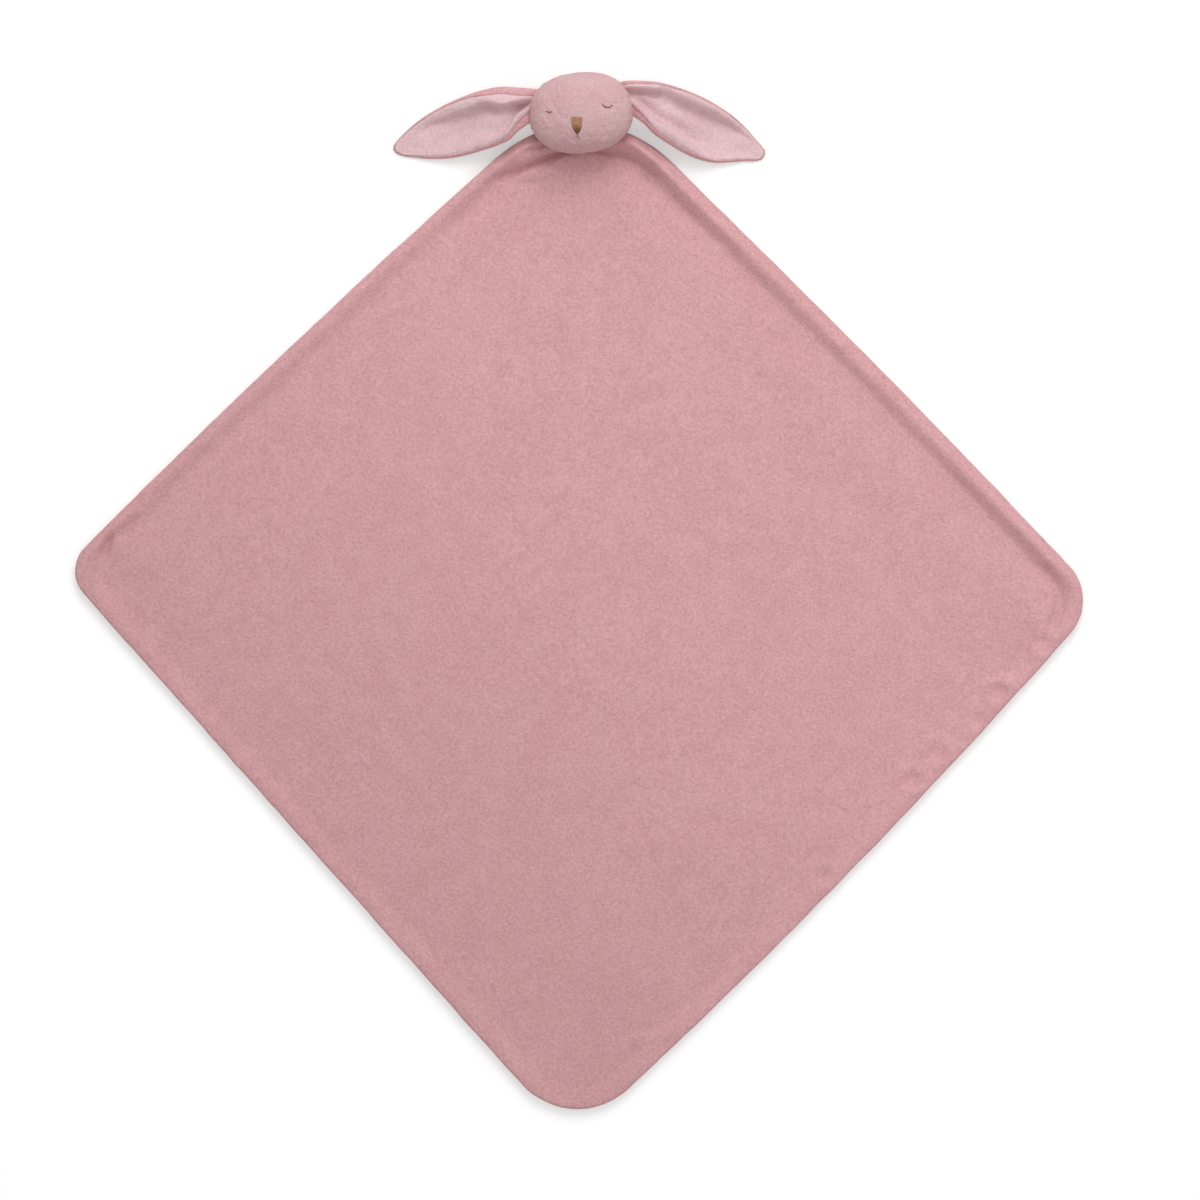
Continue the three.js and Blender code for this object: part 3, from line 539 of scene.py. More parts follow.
def placed(name, mesh, material):
    piece = bpy.data.objects.new(name, mesh)
    scene.collection.objects.link(piece)
    mesh.materials.clear()
    mesh.materials.append(material)
    return piece


def thickened(piece, thickness):
    """Gives a sheet its thickness, inwards from the face that is seen."""
    layer = piece.modifiers.new("cloth_thickness", "SOLIDIFY")
    layer.thickness = thickness * MM
    layer.offset = -1


def front_height(points, inset):
    puff = 1 - smooth(5, 24, inset)
    clear_of_head = smooth(0, 22, np.hypot(points[:, 0] - 2, points[:, 1] - 443) - 30)
    rise = blanket_folds(points) + blanket_waves(points)
    rise *= np.where(rise < 0, 0.15 + 0.85 * smooth(4, 13, inset), 0.5 + 0.5 * smooth(1, 9, inset))
    height = middle_height + (lip_height - middle_height) * puff + rise
    return np.clip(height, middle_height - 0.3, lip_height + 30 * clear_of_head)


def back_height(points, inset):
    return 0.35 + 0.25 * flat_cloud(points, 60, 9.1)


def no_overhang(points):
    return np.zeros(len(points))


def lip_overhang(points):
    """The back square shows as a thin line past the front one along the upper right side."""
    return 0.9 * smooth(0.1, 0.3, side_share(points, 2)) * hill(side_inset(points, 2), 20)


blanket_front = placed("blanket_front", panel_mesh(
    "blanket_front", 192, front_height, seam_height + seam_gap, no_overhang, 1.5, 2.1), blanket_fleece)
blanket_back = placed("blanket_back", panel_mesh(
    "blanket_back", 128, back_height, seam_height - seam_gap, lip_overhang, 2.4, 4.4), blanket_fleece)
blanket_back.data.flip_normals()
for square, solid in ((blanket_front, "blanket_front_panel"), (blanket_back, "blanket_back_panel")):
    thickened(square, fleece_thickness)
    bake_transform(square)
    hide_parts(solid)

# The edge stitching
# A lockstitch in matching thread closes the edge. It lies deep in the groove between the two lips, so only
# the short stitches themselves show there.
seam_thread_rose = (0.47, 0.24, 0.26)


def thread_shader(name, dark, light, twists):
    """Shiny plied thread: a fine twist in its colour and in its surface."""
    cloth, nodes, shader, coords = cloth_shader(name, 0.3, light, roughness=0.5)
    ply = mottle(nodes, coords, twists, Detail=2)
    link(nodes, shaded(nodes, ply, dark, light, 0.4, 0.6), shader.inputs["Base Color"])
    raised(nodes, shader, ply, 0.0003)
    return cloth


seam_thread = thread_shader("seam_thread", tinted(seam_thread_rose, 0.8), tinted(seam_thread_rose, 1.2), 1500)


def one_stitch(thickness, sides):
    """A stitch a millimetre long along Z, as thread that goes into the cloth at both ends. The cap where it
    starts stays, and the caps left inside the thread go."""
    bm = bmesh.new()
    bmesh.ops.create_circle(bm, segments=sides, radius=thickness * 0.2, cap_ends=True)
    top = bm.faces[:]
    for height, size in ((0.18, 0.42), (0.5, 0.5), (0.82, 0.42), (1.0, 0.2)):
        made = bmesh.ops.extrude_face_region(bm, geom=top)["geom"]
        verts = [v for v in made if isinstance(v, bmesh.types.BMVert)]
        if height > 0.2:
            bmesh.ops.delete(bm, geom=top, context="FACES_ONLY")
        top = [f for f in made if isinstance(f, bmesh.types.BMFace)]
        for vert in verts:
            level = Vector((vert.co.x, vert.co.y, 0)).normalized() * (thickness * size)
            vert.co = Vector((level.x, level.y, height))
    stitch = bpy.data.meshes.new("one_stitch")
    bm.to_mesh(stitch)
    bm.free()
    return stitch


def sew(bm, stitch, start, end, arch=0.0):
    """Puts one stitch into the mesh, from one hole in the cloth to the next, arched over what it holds."""
    start, end = Vector(start), Vector(end)
    length = (end - start).length
    sewn = stitch.copy()
    for vert in sewn.vertices:
        vert.co.y += arch * 4 * vert.co.z * (1 - vert.co.z)
    turn = (end - start).to_track_quat("Z", "Y").to_matrix().to_4x4()
    sewn.transform(Matrix.Translation(start) @ turn @ Matrix.Diagonal((1, 1, length, 1)))
    bm.from_mesh(sewn)
    bpy.data.meshes.remove(sewn)


def finished_mesh(bm, name):
    bmesh.ops.recalc_face_normals(bm, faces=bm.faces)
    bmesh.ops.scale(bm, vec=(MM, MM, MM), verts=bm.verts)
    mesh = bpy.data.meshes.new(name)
    bm.to_mesh(mesh)
    bm.free()
    mesh.shade_smooth()
    return mesh


edge_seam_length = 700


def edge_stitches(pitch, sink):
    """Stitches all round the blanket, set back from the outline into the groove."""
    bm = bmesh.new()
    stitch = one_stitch(0.6, 5)
    for side in range(4):
        steps = int(edge_seam_length / pitch)
        share = np.linspace(0, 1, steps, endpoint=False)
        place, _ = outline_points(side, share, np.full(steps, sink))
        ahead, _ = outline_points(side, share + 0.7 / steps, np.full(steps, sink))
        for near, far in zip(place, ahead):
            sew(bm, stitch, (*near, seam_height), (*far, seam_height))
    return finished_mesh(bm, "blanket_seam_stitches")


blanket_seam = placed("blanket_seam_stitches", edge_stitches(3.0, 0.9), seam_thread)
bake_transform(blanket_seam)
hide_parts("blanket_edge_thread")

# The head
# A ball of polyester fibre in a cover of curly plush, paler than the blanket. The cover is two panels joined
# by a seam round the side of the head, with a curved dart from the brow to the nose on each side of the face.
head_middle = Vector((1.9, 453.2))
head_half_width, head_half_height = 48.5, 38.5
head_squareness = 2.3
head_fullness = 2.2
head_roll = math.radians(6)
side_seam_height = 31.0
face_depth, back_depth = 31.0, 34.0
hinge_line = 435.4
furthest_nod = math.radians(20)
neck_room = 4.9
head_rose = (0.650, 0.450, 0.460)


def head_outline(angle, inset):
    across = abs(math.cos(angle)) / (head_half_width - inset)
    along = abs(math.sin(angle)) / (head_half_height - inset)
    return (across**head_squareness + along**head_squareness) ** (-1 / head_squareness)


def nape_clearance(y, inset):
    """The lowest that the cover may reach over the blanket, and where it turns down behind the neck."""
    ahead = hinge_line - y
    upright = math.cos(furthest_nod)
    over = seam_height + neck_room / upright + inset / upright + ahead * math.tan(furthest_nod)
    behind = seam_height + neck_room / upright + 1.8 * inset + ahead * 1.5
    return min(over, behind)


def head_point(direction, inset):
    """Where a direction from inside the head meets its cover, or a layer inside the cover."""
    angle = math.atan2(direction.y, direction.x)
    level = min(math.hypot(direction.x, direction.y), 1)
    radius = head_outline(angle, inset) * level ** (2 / head_fullness)
    x, y = radius * math.cos(angle), radius * math.sin(angle)
    height = abs(direction.z) ** (2 / head_fullness)
    place = Matrix.Rotation(head_roll, 2) @ Vector((x, y)) + head_middle
    if direction.z >= 0:
        muzzle = 3.0 * math.exp(-((math.hypot(x + 3.3, y + 15) / 15) ** 2))
        return Vector((place.x, place.y, side_seam_height + (face_depth - inset) * height + muzzle))
    low = side_seam_height - (back_depth - inset) * height
    return Vector((place.x, place.y, max(low, 0.4 + inset, nape_clearance(place.y, inset))))


def ball(cuts, inset):
    """A head-shaped ball of even squares."""
    bm = bmesh.new()
    bmesh.ops.create_cube(bm, size=2)
    bmesh.ops.subdivide_edges(bm, edges=bm.edges, cuts=cuts, use_grid_fill=True)
    for vert in bm.verts:
        x, y, z = (math.tan(c * math.pi / 4) for c in vert.co)
        vert.co = head_point(Vector((x, y, z)).normalized(), inset)
    return bm


stuffing_steps = 20


def stuffed(bm, sewn, cap, firmness):
    """Blows the cover up as fibre pushed into it does, held where it is sewn, and no further than a cap."""
    start = [vert.co.copy() for vert in bm.verts]
    mesh = bpy.data.meshes.new("being_stuffed")
    bmesh.ops.scale(bm, vec=(MM, MM, MM), verts=bm.verts)
    bm.to_mesh(mesh)
    bm.free()
    trial = bpy.data.objects.new("being_stuffed", mesh)
    scene.collection.objects.link(trial)
    held = trial.vertex_groups.new(name="sewn")
    for index, point in enumerate(start):
        weight = sewn(point)
        if weight > 0:
            held.add([index], weight, "REPLACE")
    cloth = trial.modifiers.new("stuffing", "CLOTH")
    cloth.settings.quality = 6
    cloth.settings.mass = 0.001
    cloth.settings.tension_stiffness = 0.03
    cloth.settings.compression_stiffness = 0.03
    cloth.settings.bending_stiffness = 0.0005
    cloth.settings.use_pressure = True
    cloth.settings.uniform_pressure_force = firmness
    cloth.settings.vertex_group_mass = "sewn"
    cloth.settings.effector_weights.gravity = 0
    cloth.point_cache.frame_start, cloth.point_cache.frame_end = 1, stuffing_steps
    for step in range(1, stuffing_steps + 1):
        scene.frame_set(step)
    swollen = trial.evaluated_get(bpy.context.evaluated_depsgraph_get()).to_mesh()
    made = bmesh.new()
    made.from_mesh(swollen)
    made.verts.ensure_lookup_table()
    for vert, point in zip(made.verts, start):
        move = vert.co / MM - point
        vert.co = point + move * min(1, cap / max(move.length, 1e-9))
    scene.frame_set(1)
    bpy.data.objects.remove(trial)
    return made


# Paths of the darts, and places where a stitch holds the cover down with how far round itself it does so, all
# level from the middle of the head.
dart_left = [(-31, 21), (-29, 14), (-25, 5), (-20, -2.5), (-12, -8.5)]
dart_right = [(20, 31), (25, 23), (26.5, 16), (24, 11)]
stitched_places = [(-30.6, 0.0, 4.0), (25.0, 6.6, 5.5), (-3.5, -22.5, 4.0), (19.5, -19.0, 4.0)]


def sewn_weight(point):
    """How firmly the cover is held at a place: at the darts, the stitches, the side seam and the neck."""
    if point.z < 12:
        return 1.0
    level = np.array([[point.x - head_middle.x, point.y - head_middle.y]])
    if point.z > side_seam_height + 4:
        at_dart = 0.75 * float(hill(along_path(level, dart_left)[0][0], 2.2))
        at_other = 0.45 * float(hill(along_path(level, dart_right)[0][0], 2.2))
        at_stitch = max(0.8 * math.exp(-((math.hypot(level[0, 0] - x, level[0, 1] - y) / r) ** 2))
                        for x, y, r in stitched_places)
        return max(at_dart, at_other, at_stitch)
    return 0.6 * math.exp(-(((point.z - side_seam_height) / 1.6) ** 2))


cover_inset = 2.2
shape = ball(40, cover_inset)
for vert in shape.verts:
    fullness = 1.4 * float(smooth(9, 16, vert.co.z))
    vert.co += (vert.co - Vector((*head_middle, side_seam_height))).normalized() * fullness
shape = stuffed(shape, sewn_weight, 1.3, 80)
bmesh.ops.subdivide_edges(shape, edges=shape.edges, cuts=1, use_grid_fill=True, smooth=1.0)
bmesh.ops.smooth_vert(shape, verts=shape.verts, factor=0.5, use_axis_x=True, use_axis_y=True, use_axis_z=True)
# The pile stands out past its cloth, more at the cheeks than at the crown.
fuller = (1.034, 1.012, 1)
from_middle = Matrix.Translation((-head_middle.x, -head_middle.y, 0))
bmesh.ops.scale(shape, vec=fuller, space=from_middle, verts=shape.verts)


def curly_pile(name, colour):
    """Curly plush: clumps of pile a few millimetres across, lighter at their tips and rosier between them."""
    cloth, nodes, shader, coords = cloth_shader(name, 0.25, tinted(colour, 1.3))
    clumps = mottle(nodes, coords, 360, Detail=3, Roughness=0.7)
    curls = mottle(nodes, coords, 800, Detail=3, Roughness=0.7)
    wide = mottle(nodes, coords, 45, Detail=2)
    pile = averaged(nodes, clumps, curls)
    rosier = (colour[0] * 0.94, colour[1] * 0.83, colour[2] * 0.84)
    near = shaded(nodes, pile, rosier, tinted(colour, 1.1), 0.38, 0.62)
    far = shaded(nodes, wide, (1, 0.92, 0.93), (1, 1, 1), 0.35, 0.6)
    link(nodes, multiplied(nodes, near, far), shader.inputs["Base Color"])
    raised(nodes, shader, pile, 0.0022)
    return cloth


head_plush = curly_pile("head_plush", head_rose)


def plush_relief(bm, lump, height, seed):
    """Makes the surface as uneven as pile is, along its own normals."""
    bm.normal_update()
    places = [vert.co for vert in bm.verts]
    lifts = cloud(places, lump, seed) + 0.5 * cloud(places, lump / 2, seed + 5)
    for vert, lift in zip(bm.verts, lifts):
        vert.co += vert.normal * (height * float(lift))


def pressed_in(bm, path, depth, width, above):
    """A seam drawn down into the pile along a path on the face."""
    level = np.array([[vert.co.x - head_middle.x, vert.co.y - head_middle.y] for vert in bm.verts])
    distance, _, share = along_path(level, path)
    lifts = depth * hill(distance, width) * smooth(0, 0.15, share) * smooth(0, 0.1, 1 - share)
    for vert, lift in zip(bm.verts, lifts):
        if vert.co.z > above:
            vert.co -= vert.normal * float(lift)


plush_relief(shape, 5.2, 0.5, 3.3)
pressed_in(shape, dart_left, 0.55, 1.5, side_seam_height + 5)
pressed_in(shape, dart_right, 0.3, 1.5, side_seam_height + 5)
for vert in shape.verts:
    gap = abs(vert.co.z - side_seam_height)
    out = Vector((vert.co.x - head_middle.x, vert.co.y - head_middle.y, 0)).normalized()
    vert.co -= out * (1.3 * math.exp(-((gap / 1.4) ** 2)))
    vert.co.z = max(vert.co.z, 0.25)


def half_cover(name, towards):
    """One panel of the cover: the ball cut off at the side seam, with the cut edge turned in."""
    bm = shape.copy()
    whole_ball = bm.verts[:] + bm.edges[:] + bm.faces[:]
    seam_place = (0, 0, side_seam_height + 0.12 * towards)
    cut = bmesh.ops.bisect_plane(bm, geom=whole_ball, plane_co=seam_place, plane_no=(0, 0, -towards),
                                 clear_outer=True)
    rim = [e for e in cut["geom_cut"] if isinstance(e, bmesh.types.BMEdge)]
    turned = bmesh.ops.extrude_edge_only(bm, edges=rim)["geom"]
    for vert in (v for v in turned if isinstance(v, bmesh.types.BMVert)):
        middle = Vector((head_middle.x, head_middle.y, vert.co.z))
        vert.co += (middle - vert.co).normalized() * 5
    return finished_mesh(bm, name)


head_face = placed("head_face", half_cover("head_face", 1), head_plush)
head_back = placed("head_back", half_cover("head_back", -1), head_plush)
for panel, solid in ((head_face, "head_face_panel"), (head_back, "head_back_panel")):
    thickened(panel, 1.5)
    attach(panel, "head")
    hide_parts(solid)

fibre_white = (0.85, 0.83, 0.80)
cloth, nodes, shader, coords = cloth_shader("fibre_fill", 0.3, (1, 1, 1))
tufts = mottle(nodes, coords, 120, Detail=6, Roughness=0.7, Distortion=2)
link(nodes, shaded(nodes, tufts, tinted(fibre_white, 0.85), fibre_white), shader.inputs["Base Color"])
raised(nodes, shader, tufts, 0.002)
bm = ball(24, 5.5)
plush_relief(bm, 14, 1.0, 8.8)
head_fibre = placed("head_fibre", finished_mesh(bm, "head_fibre"), cloth)
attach(head_fibre, "head")
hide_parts("head_stuffing")

head_tree = BVHTree.FromBMesh(shape)


def on_face(x, y, lift=0.0):
    """A place on the face, measured level from the middle of the head, and lifted off the pile."""
    hit = head_tree.ray_cast(Vector((head_middle.x + x, head_middle.y + y, 90)), Vector((0, 0, -1)))[0]
    return hit + Vector((0, 0, lift))


bm = bmesh.new()
stitch = one_stitch(0.6, 5)
seam_places = []
for turn in np.linspace(0, 2 * math.pi, 91):
    out = Vector((math.cos(turn), math.sin(turn), 0))
    seam_places.append(head_tree.ray_cast(Vector((*head_middle, side_seam_height)), out)[0] + 0.1 * out)
for near, far in zip(seam_places[:-1], seam_places[1:]):
    sew(bm, stitch, near, near.lerp(far, 0.75))
head_seam = placed("head_seam_stitches", finished_mesh(bm, "head_seam_stitches"), seam_thread)
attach(head_seam, "head")
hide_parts("head_seam_thread")

# The ears
# Each ear is two pieces of cloth sewn and turned: dusty rose fleece behind, pale short plush inside. The base
# is pinched and sewn into the side of the head, so the edges roll forward and the back shows along them.
ear_pale = (0.725, 0.51, 0.53)
ear_lining = short_pile("ear_lining", ear_pale, grain=0.09, patches=0.06, depth=0.0016, sheen=0.3)
ear_length = 133.0
resting_ear = 2.4


def flowing(x, stations, values):
    """A smooth line through values at stations, read at x."""
    stations, values = np.array(stations, float), np.array(values, float)
    slopes = np.gradient(values, stations)
    k = np.clip(np.searchsorted(stations, x) - 1, 0, len(stations) - 2)
    span = stations[k + 1] - stations[k]
    t = np.clip((x - stations[k]) / span, 0, 1)
    start = (2 * t**3 - 3 * t**2 + 1) * values[k] + (t**3 - 2 * t**2 + t) * span * slopes[k]
    end = (3 * t**2 - 2 * t**3) * values[k + 1] + (t**3 - t**2) * span * slopes[k + 1]
    return start + end


# Stations lie along an ear from its sewn root to its tip. At each: how far the ear reaches up and down across
# its middle line, and how much of that is the back cloth rolled round each edge.
left_ear_stations = [-3, 3, 10, 19, 37, 55, 70, 85, 104, 118, 125, 130, 132.5, 133.5]
left_ear_up = [14.5, 17.2, 20.5, 24.6, 27.4, 27.2, 25.8, 23.2, 18.0, 11.9, 8.2, 5.0, 2.6, 0.05]
left_ear_down = [14.0, 16.0, 19.8, 24.0, 27.0, 27.0, 26.4, 24.4, 18.9, 13.0, 9.8, 6.2, 3.2, 0.05]
left_ear_back_up = [6.0, 6.8, 7.4, 7.0, 5.0, 2.2, 1.6, 1.4, 1.2, 1.0, 0.9, 0.8, 0.6, 0.0]
left_ear_back_down = [13.0, 10.0, 7.6, 4.8, 3.2, 2.8, 2.4, 2.0, 1.6, 1.2, 1.0, 0.8, 0.6, 0.0]
right_ear_stations = [-3, 4, 10, 22, 33, 44, 62, 78, 93, 107, 119, 126, 130, 132.5, 133.5]
right_ear_up = [15.5, 21.0, 23.4, 26.4, 27.8, 28.3, 27.8, 25.6, 22.2, 16.8, 10.8, 7.4, 5.2, 3.0, 0.05]
right_ear_down = [11.5, 14.0, 16.4, 20.6, 23.2, 25.2, 27.8, 27.8, 24.6, 18.2, 12.4, 9.6, 7.0, 4.4, 0.05]
right_ear_back_up = [3.0, 3.0, 2.6, 1.8, 1.5, 1.4, 1.3, 1.3, 1.2, 1.1, 1.0, 0.9, 0.8, 0.6, 0.0]
right_ear_back_down = [15.0, 9.0, 6.2, 4.2, 3.5, 3.2, 3.0, 2.6, 2.2, 1.7, 1.4, 1.1, 0.9, 0.6, 0.0]


def head_reach(side, rise):
    """How far the head reaches to one side at a height above its middle."""
    x = head_half_width
    for _ in range(12):
        radius = head_outline(math.atan2(rise, side * x) - head_roll, 0)
        x = math.sqrt(max(radius**2 - rise**2, 0))
    return x


def ear_placing(side, degrees_down, root):
    """Puts places on an ear (along, across, up from its root) on the blanket. The sewn root is level and
    follows the side of the head; the ear turns square to its own line further out."""
    turn = math.radians(degrees_down)
    rises = np.linspace(-30, 30, 41)
    reaches = np.array([head_reach(side, root[1] + rise - head_middle.y) for rise in rises])
    gaps = abs(root[0] - head_middle.x) - reaches + 2.5

    def place(along, across, up):
        slant = turn * smooth(0, 0.25 * ear_length, along)
        pull = np.interp(across, rises, gaps) * (1 - smooth(-3, 16, along))
        x = root[0] + side * (along - pull) * math.cos(turn) + side * across * np.sin(slant)
        y = root[1] - along * math.sin(turn) + across * np.cos(slant)
        return np.column_stack([x, y, root[2] + up])

    return place


def ear_sink(along):
    """Height of an ear's middle line above the floor: it comes down from the side seam and lies flat."""
    return side_seam_height + (resting_ear - side_seam_height) * smooth(0, 0.75 * ear_length, along)


def ridge(offset, above, below):
    """A rounded rise along a line, with its own width on each side of it."""
    return np.where(offset > 0, hill(offset, above), hill(offset, below))


def left_ear_rise(along, across, up, down):
    """Height of the lining over the middle line: a cup, a roll along the upper edge with a valley under it,
    and a band folded forward across the base."""
    share = np.where(across > 0, across / up, -across / down)
    fade = 1 - smooth(80, 125, along)
    rise = 6.5 * share**2 * fade * smooth(-6, 30, along)
    valley = flowing(along, [-3, 3, 25, 36, 51, 86, 133], [0, 1.8, 4.8, 11.0, 11.1, 10.4, 2])
    rise += -5.0 * ridge(across - valley, 2.2, 8.0) * (1 - smooth(70, 110, along))
    rise += 7.5 * ridge(across - valley - 5.5, 9.0, 2.6) * (1 - smooth(30, 112, along))
    band = flowing(along, [-3, 0, 10, 20, 34, 50], [8, 3, -5, -14, -20, -22])
    rise += 8.0 * ridge(across - band, 1.8, 7.0) * (1 - smooth(16, 48, along))
    rise += -4.4 * ridge(across - band - 4.2, 7.0, 1.8) * (1 - smooth(20, 56, along))
    rise += 1.6 * hill(across + 20 - 0.06 * along, 6) * smooth(30, 50, along) * (1 - smooth(80, 120, along))
    rise += -1.6 * hill(across + 8 - 0.05 * along, 7) * smooth(44, 64, along) * (1 - smooth(90, 124, along))
    return rise


def right_ear_rise(along, across, up, down):
    """As on the left ear: a short roll at the top, a long soft valley, and a band along the lower edge."""
    share = np.where(across > 0, across / up, -across / down)
    fade = 1 - smooth(85, 128, along)
    rise = 8.0 * share**2 * fade * smooth(-6, 30, along)
    short = 1 - smooth(17, 25, along)
    rise += 6.5 * ridge(across - flowing(along, [-3, 10, 21], [11, 16, 20]), 9.0, 2.4) * short
    rise += -5.0 * hill(across - flowing(along, [-3, 0, 21], [6, 8.5, 13.5]), 3.2) * short
    broad = flowing(along, [15, 26, 84, 121, 133], [14, 12.6, 9.7, 1, 0])
    rise += -5.0 * hill(across - broad, 6) * smooth(14, 30, along) * (1 - smooth(100, 128, along))
    rise += 3.4 * hill(across - broad - 9, 6) * smooth(24, 40, along) * (1 - smooth(80, 120, along))
    band = flowing(along, [-9, 0, 6, 17, 38, 57, 75, 92], [11, 4.5, -1.6, -8.5, -12.0, -16.0, -22.0, -24.0])
    rise += 7.5 * ridge(across - band, 1.8, 8.0) * (1 - smooth(56, 100, along))
    rise += -4.4 * ridge(across - band - 4.6, 7.0, 1.8) * (1 - smooth(50, 94, along))
    return rise


def make_ear(name, side, degrees_down, root, stations, ups, downs, backs_up, backs_down, full_rise, seed):
    place = ear_placing(side, degrees_down, root)

    def rise_of(along, across, up, down):
        return full_rise(along, across, up, down) * (0.3 + 0.7 * smooth(-3, 9, along))

    def widths(along):
        return tuple(flowing(along, stations, values) for values in (ups, downs, backs_up, backs_down))

    def along_at(u):
        """Columns lie closer together towards the tip."""
        return -3 + (ear_length + 3.5) * (1 - np.clip((1 - u) / 2, 0, 1) ** 1.25)

    def near_tip(along):
        return smooth(ear_length - 6, ear_length + 0.5, along)

    def lining(u, v):
        along = along_at(u)
        up, down, back_up, back_down = widths(along)
        top, bottom = up - back_up, down - back_down
        across = np.where(v > 0, v * top, v * bottom)
        rise = rise_of(along, across, up, down)
        edge = smooth(0.86, 1.0, np.abs(v))
        height = np.maximum(ear_sink(along) + rise - side_seam_height, resting_ear - side_seam_height)
        height += 1.6 - 1.5 * edge
        flat = np.column_stack([along, across])
        height += 0.45 * flat_cloud(flat, 13, seed) + 0.2 * flat_cloud(flat, 4.5, seed + 6)
        return place(along - 2.0 * near_tip(along), across, height)

    def back(u, v):
        along = along_at(u)
        up, down, back_up, back_down = widths(along)
        reach = np.where(v > 0, up, down)
        strip = np.where(v > 0, back_up, back_down)
        seam = rise_of(along, np.where(v > 0, reach - strip, strip - reach), up, down)
        top = np.maximum(ear_sink(along) + seam, resting_ear) + 0.6
        turn = math.pi * smooth(0, 1, np.clip((np.abs(v) - 0.6) / 0.4, 0, 1))
        inwards = np.where(turn < math.pi / 2, np.minimum(0.35 * strip, 1.5), strip)
        across = (reach - inwards * (1 - np.sin(turn))) * np.minimum(np.abs(v) / 0.6, 1) * np.sign(v)
        under = np.minimum.reduce([rise_of(along, across + shift, up, down) for shift in (-2.5, 0, 2.5)])
        under = np.minimum(np.where(under < 0, under, 0.8 * under), 1.5)
        low = np.maximum(ear_sink(along) + under - 2.2, 0.3)
        middle = low + 0.35 * (top - low)
        height = middle - np.where(turn < math.pi / 2, middle - low, top - middle) * np.cos(turn)
        height += 0.3 * flat_cloud(np.column_stack([along, across]), 13, seed + 3) * (turn > 0)
        drawn_in = np.where(turn < math.pi / 2, 0.8, 2.0) * (1 - np.sin(turn)) * near_tip(along)
        return place(along - drawn_in, across, height - side_seam_height)

    mesh, u, v = square_grid(name + "_lining", 100, 56)
    front = placed(name + "_lining", shaped(mesh, lining(u, v)), ear_lining)
    mesh, u, v = square_grid(name + "_back", 100, 80)
    behind = placed(name + "_back", shaped(mesh, back(u, v)), blanket_fleece)
    if side > 0:
        behind.data.flip_normals()
    else:
        front.data.flip_normals()
    thickened(front, 1.3)
    thickened(behind, 1.3)

    def sewn_on(piece, solid):
        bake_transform(piece)
        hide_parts(name + solid)

    sewn_on(front, "_inner_panel")
    sewn_on(behind, "_outer_panel")
    bm = bmesh.new()
    stitch = one_stitch(0.5, 5)
    for edge in (-1, 1):
        line = lining(np.linspace(-0.96, 0.9, 50), np.full(50, float(edge)))
        line[:, 2] -= 0.3
        for near, far in zip(line[:-1], line[1:]):
            sew(bm, stitch, near, near + 0.75 * (far - near))
    stitches = placed(name + "_stitches", finished_mesh(bm, name + "_stitches"), seam_thread)
    sewn_on(stitches, "_thread")


make_ear("left_ear", -1, 17.7, (-49.344, 459.6, side_seam_height), left_ear_stations, left_ear_up,
         left_ear_down, left_ear_back_up, left_ear_back_down, left_ear_rise, 12.5)
make_ear("right_ear", 1, 22.1, (53.137, 464.0, side_seam_height), right_ear_stations, right_ear_up,
         right_ear_down, right_ear_back_up, right_ear_back_down, right_ear_rise, 21.5)

# The face
# Nose, mouth and closed eyes are embroidered by hand: the nose is a raised satin shield of caramel threads
# laid side by side, deeper in colour at its tip, and the others are single brown stitches in the pile.
nose_light, nose_deep = (0.39, 0.20, 0.110), (0.15, 0.055, 0.025)
eye_brown, eye_deep = (0.24, 0.115, 0.062), (0.085, 0.042, 0.028)


def floss(name, deep, light, low, high):
    """Shiny stranded floss, deep in colour up to one height on the face and light above another."""
    cloth, nodes, shader, coords = cloth_shader(name, 0.15, (0.7, 0.55, 0.45), roughness=0.45)
    plies = mottle(nodes, coords, 900, (1, 0.12, 1), 0, Detail=3)
    split = nodes.new("ShaderNodeSeparateXYZ")
    link(nodes, coords, split.inputs[0])
    fall = shaded(nodes, risen(nodes, split.outputs["Y"], low * MM, high * MM), deep, light, 0, 1)
    strands = shaded(nodes, plies, (0.7, 0.7, 0.7), (1.2, 1.2, 1.2))
    link(nodes, multiplied(nodes, fall, strands), shader.inputs["Base Color"])
    raised(nodes, shader, plies, 0.0004)
    return cloth


caramel_floss = floss("caramel_floss", nose_deep, nose_light, 435, 442)
brown_floss = floss("brown_floss", eye_deep, eye_brown, 458, 452)


def laid_thread(name, paths, thickness, thread):
    """Lengths of floss laid along paths, thinner where they go into the cloth at both ends."""
    line = bpy.data.curves.new(name, "CURVE")
    line.dimensions = "3D"
    line.bevel_depth = thickness / 2 * MM
    line.bevel_resolution = 2
    line.use_fill_caps = True
    for path in paths:
        spline = line.splines.new("POLY")
        spline.points.add(len(path) - 1)
        for i, (point, place) in enumerate(zip(spline.points, path)):
            point.co = (*(place * MM), 1)
            point.radius = 0.55 if i in (0, len(path) - 1) else 1
    shown = bpy.data.objects.new(name, line)
    scene.collection.objects.link(shown)
    bpy.context.view_layer.update()
    mesh = bpy.data.meshes.new_from_object(shown.evaluated_get(bpy.context.evaluated_depsgraph_get()))
    bpy.data.objects.remove(shown)
    mesh.name = name
    mesh.shade_smooth()
    return placed(name, mesh, thread)


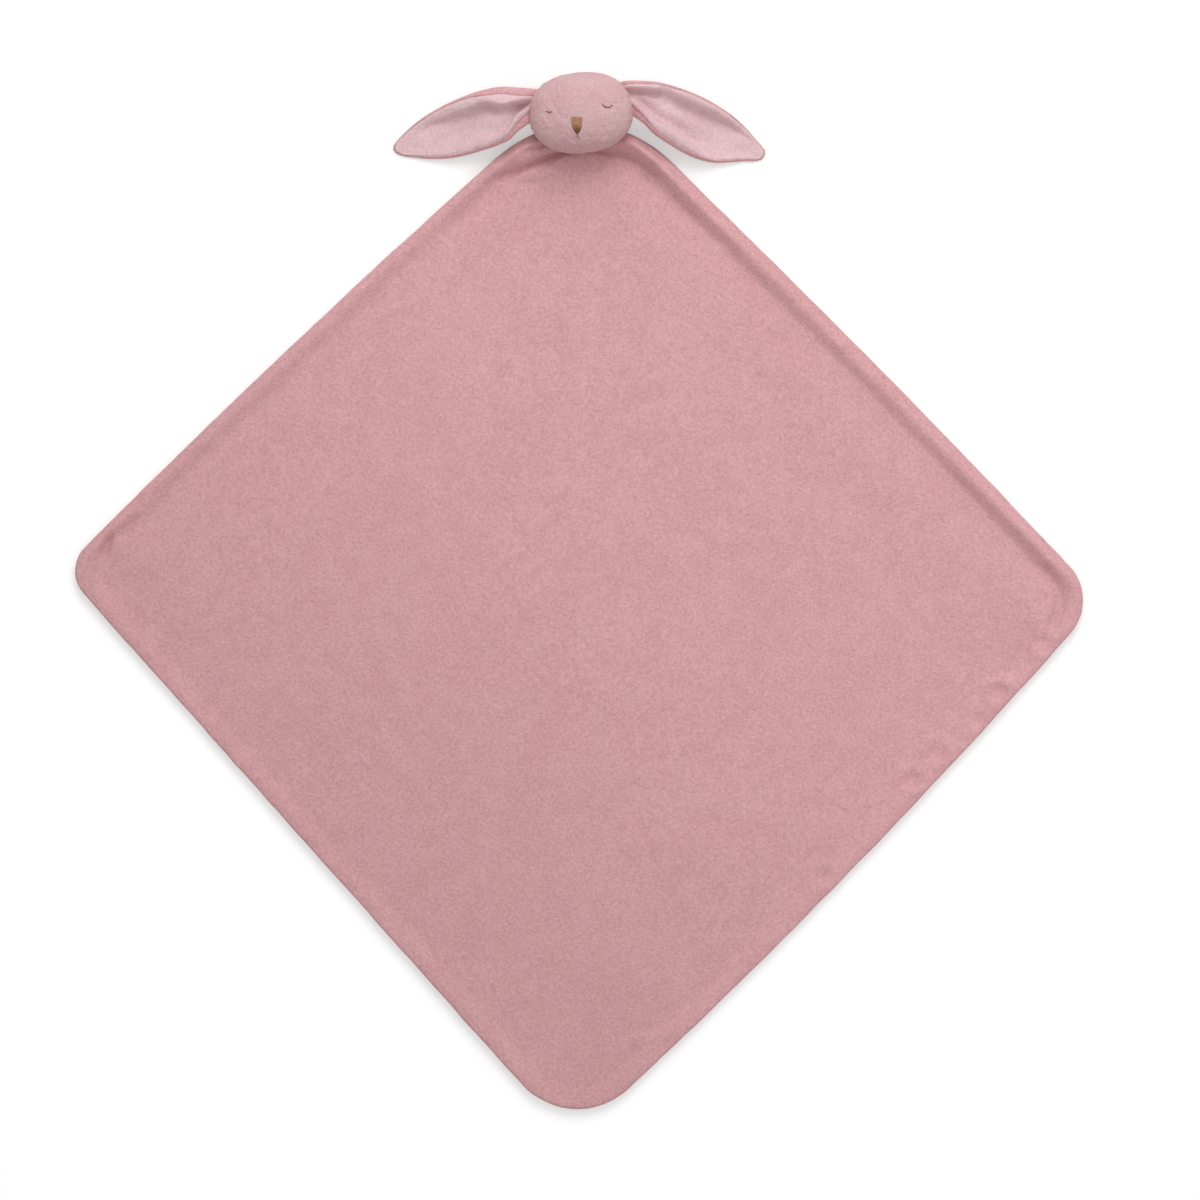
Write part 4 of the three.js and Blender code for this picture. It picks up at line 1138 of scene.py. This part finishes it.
def satin_nose(strands, top, length, width, crown):
    """Paths of the nose's threads side by side, longest and highest in the middle, with a ragged upper end."""
    paths = []
    for strand in range(strands):
        across = (2 * strand + 1) / strands - 1
        reach = length * (0.5 + 0.5 * math.sqrt(1 - across**2))
        ragged = 0.5 * math.sin(2.4 * strand)
        path = []
        for step in range(13):
            share = step / 12
            down = share * reach
            x = -4.3 + 1.0 * down / length + across * width / 2 * (1 - 0.5 * (down / length) ** 2)
            swell = crown * (1 - 0.55 * across**2) * math.sin(math.pi * (0.04 + 0.92 * share)) ** 0.5
            path.append(on_face(x, top - down + ragged * (1 - share), -0.5 + swell))
        paths.append(path)
    return paths


def stitched(points):
    """A thread through places on the face, measured level from the middle of the head, that goes into the
    cloth at both ends."""
    curved = np.linspace(0, len(points) - 1, 12)
    across, along = (np.interp(curved, range(len(points)), values) for values in zip(*points))
    lifts = [-0.7] + [0.3] * 10 + [-0.7]
    return [on_face(x, y, lift) for x, y, lift in zip(across, along, lifts)]


mouth = [[(-3.3, -20.9), (-3.0, -22.4), (-2.2, -24.4), (-1.2, -26.2)],
         [(-3.7, -21.9), (-4.2, -23.2), (-4.8, -24.4)]]
left_eye = [(-33.3, 1.2), (-31.4, 0.3), (-29.9, -0.6), (-29.0, -0.8), (-28.4, 0.0), (-28.1, 1.1)]
right_eye = [(19.9, 8.3), (20.8, 6.7), (22.2, 5.3), (24.0, 4.4), (25.8, 4.2), (27.5, 4.7), (29.1, 5.8),
             (30.3, 7.2)]
for name, paths, thickness, thread, solid in (
        ("nose_satin", satin_nose(15, -4.8, 16.0, 10.2, 1.9), 0.95, caramel_floss, "nose_embroidery"),
        ("mouth_stitch_floss", [stitched(line) for line in mouth], 0.5, brown_floss, "mouth_stitch"),
        ("left_eye_floss", [stitched(left_eye)], 0.9, brown_floss, "left_eye_stitch"),
        ("right_eye_floss", [stitched(right_eye)], 0.9, brown_floss, "right_eye_stitch")):
    piece = laid_thread(name, paths, thickness, thread)
    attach(piece, "head")
    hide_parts(solid)

# The neck
# The blanket's top corner goes into an opening under the chin, and a row of slanting stitches in doubled
# thread joins the two, pulling small gathers.
bm = bmesh.new()
stitch = one_stitch(0.8, 6)
for x in np.arange(-25, 25.1, 4.2):
    sew(bm, stitch, (x, 429.5, 8.3), (x + 2.2, 433.6, 10.8), 0.5)
    if abs(x) < 17:
        sew(bm, stitch, (x, 440.6, 1.4), (x + 2.2, 444.2, 1.0), 0.2)
neck_stitches = placed("neck_stitches", finished_mesh(bm, "neck_stitches"), seam_thread)
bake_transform(neck_stitches)
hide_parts("neck_thread")
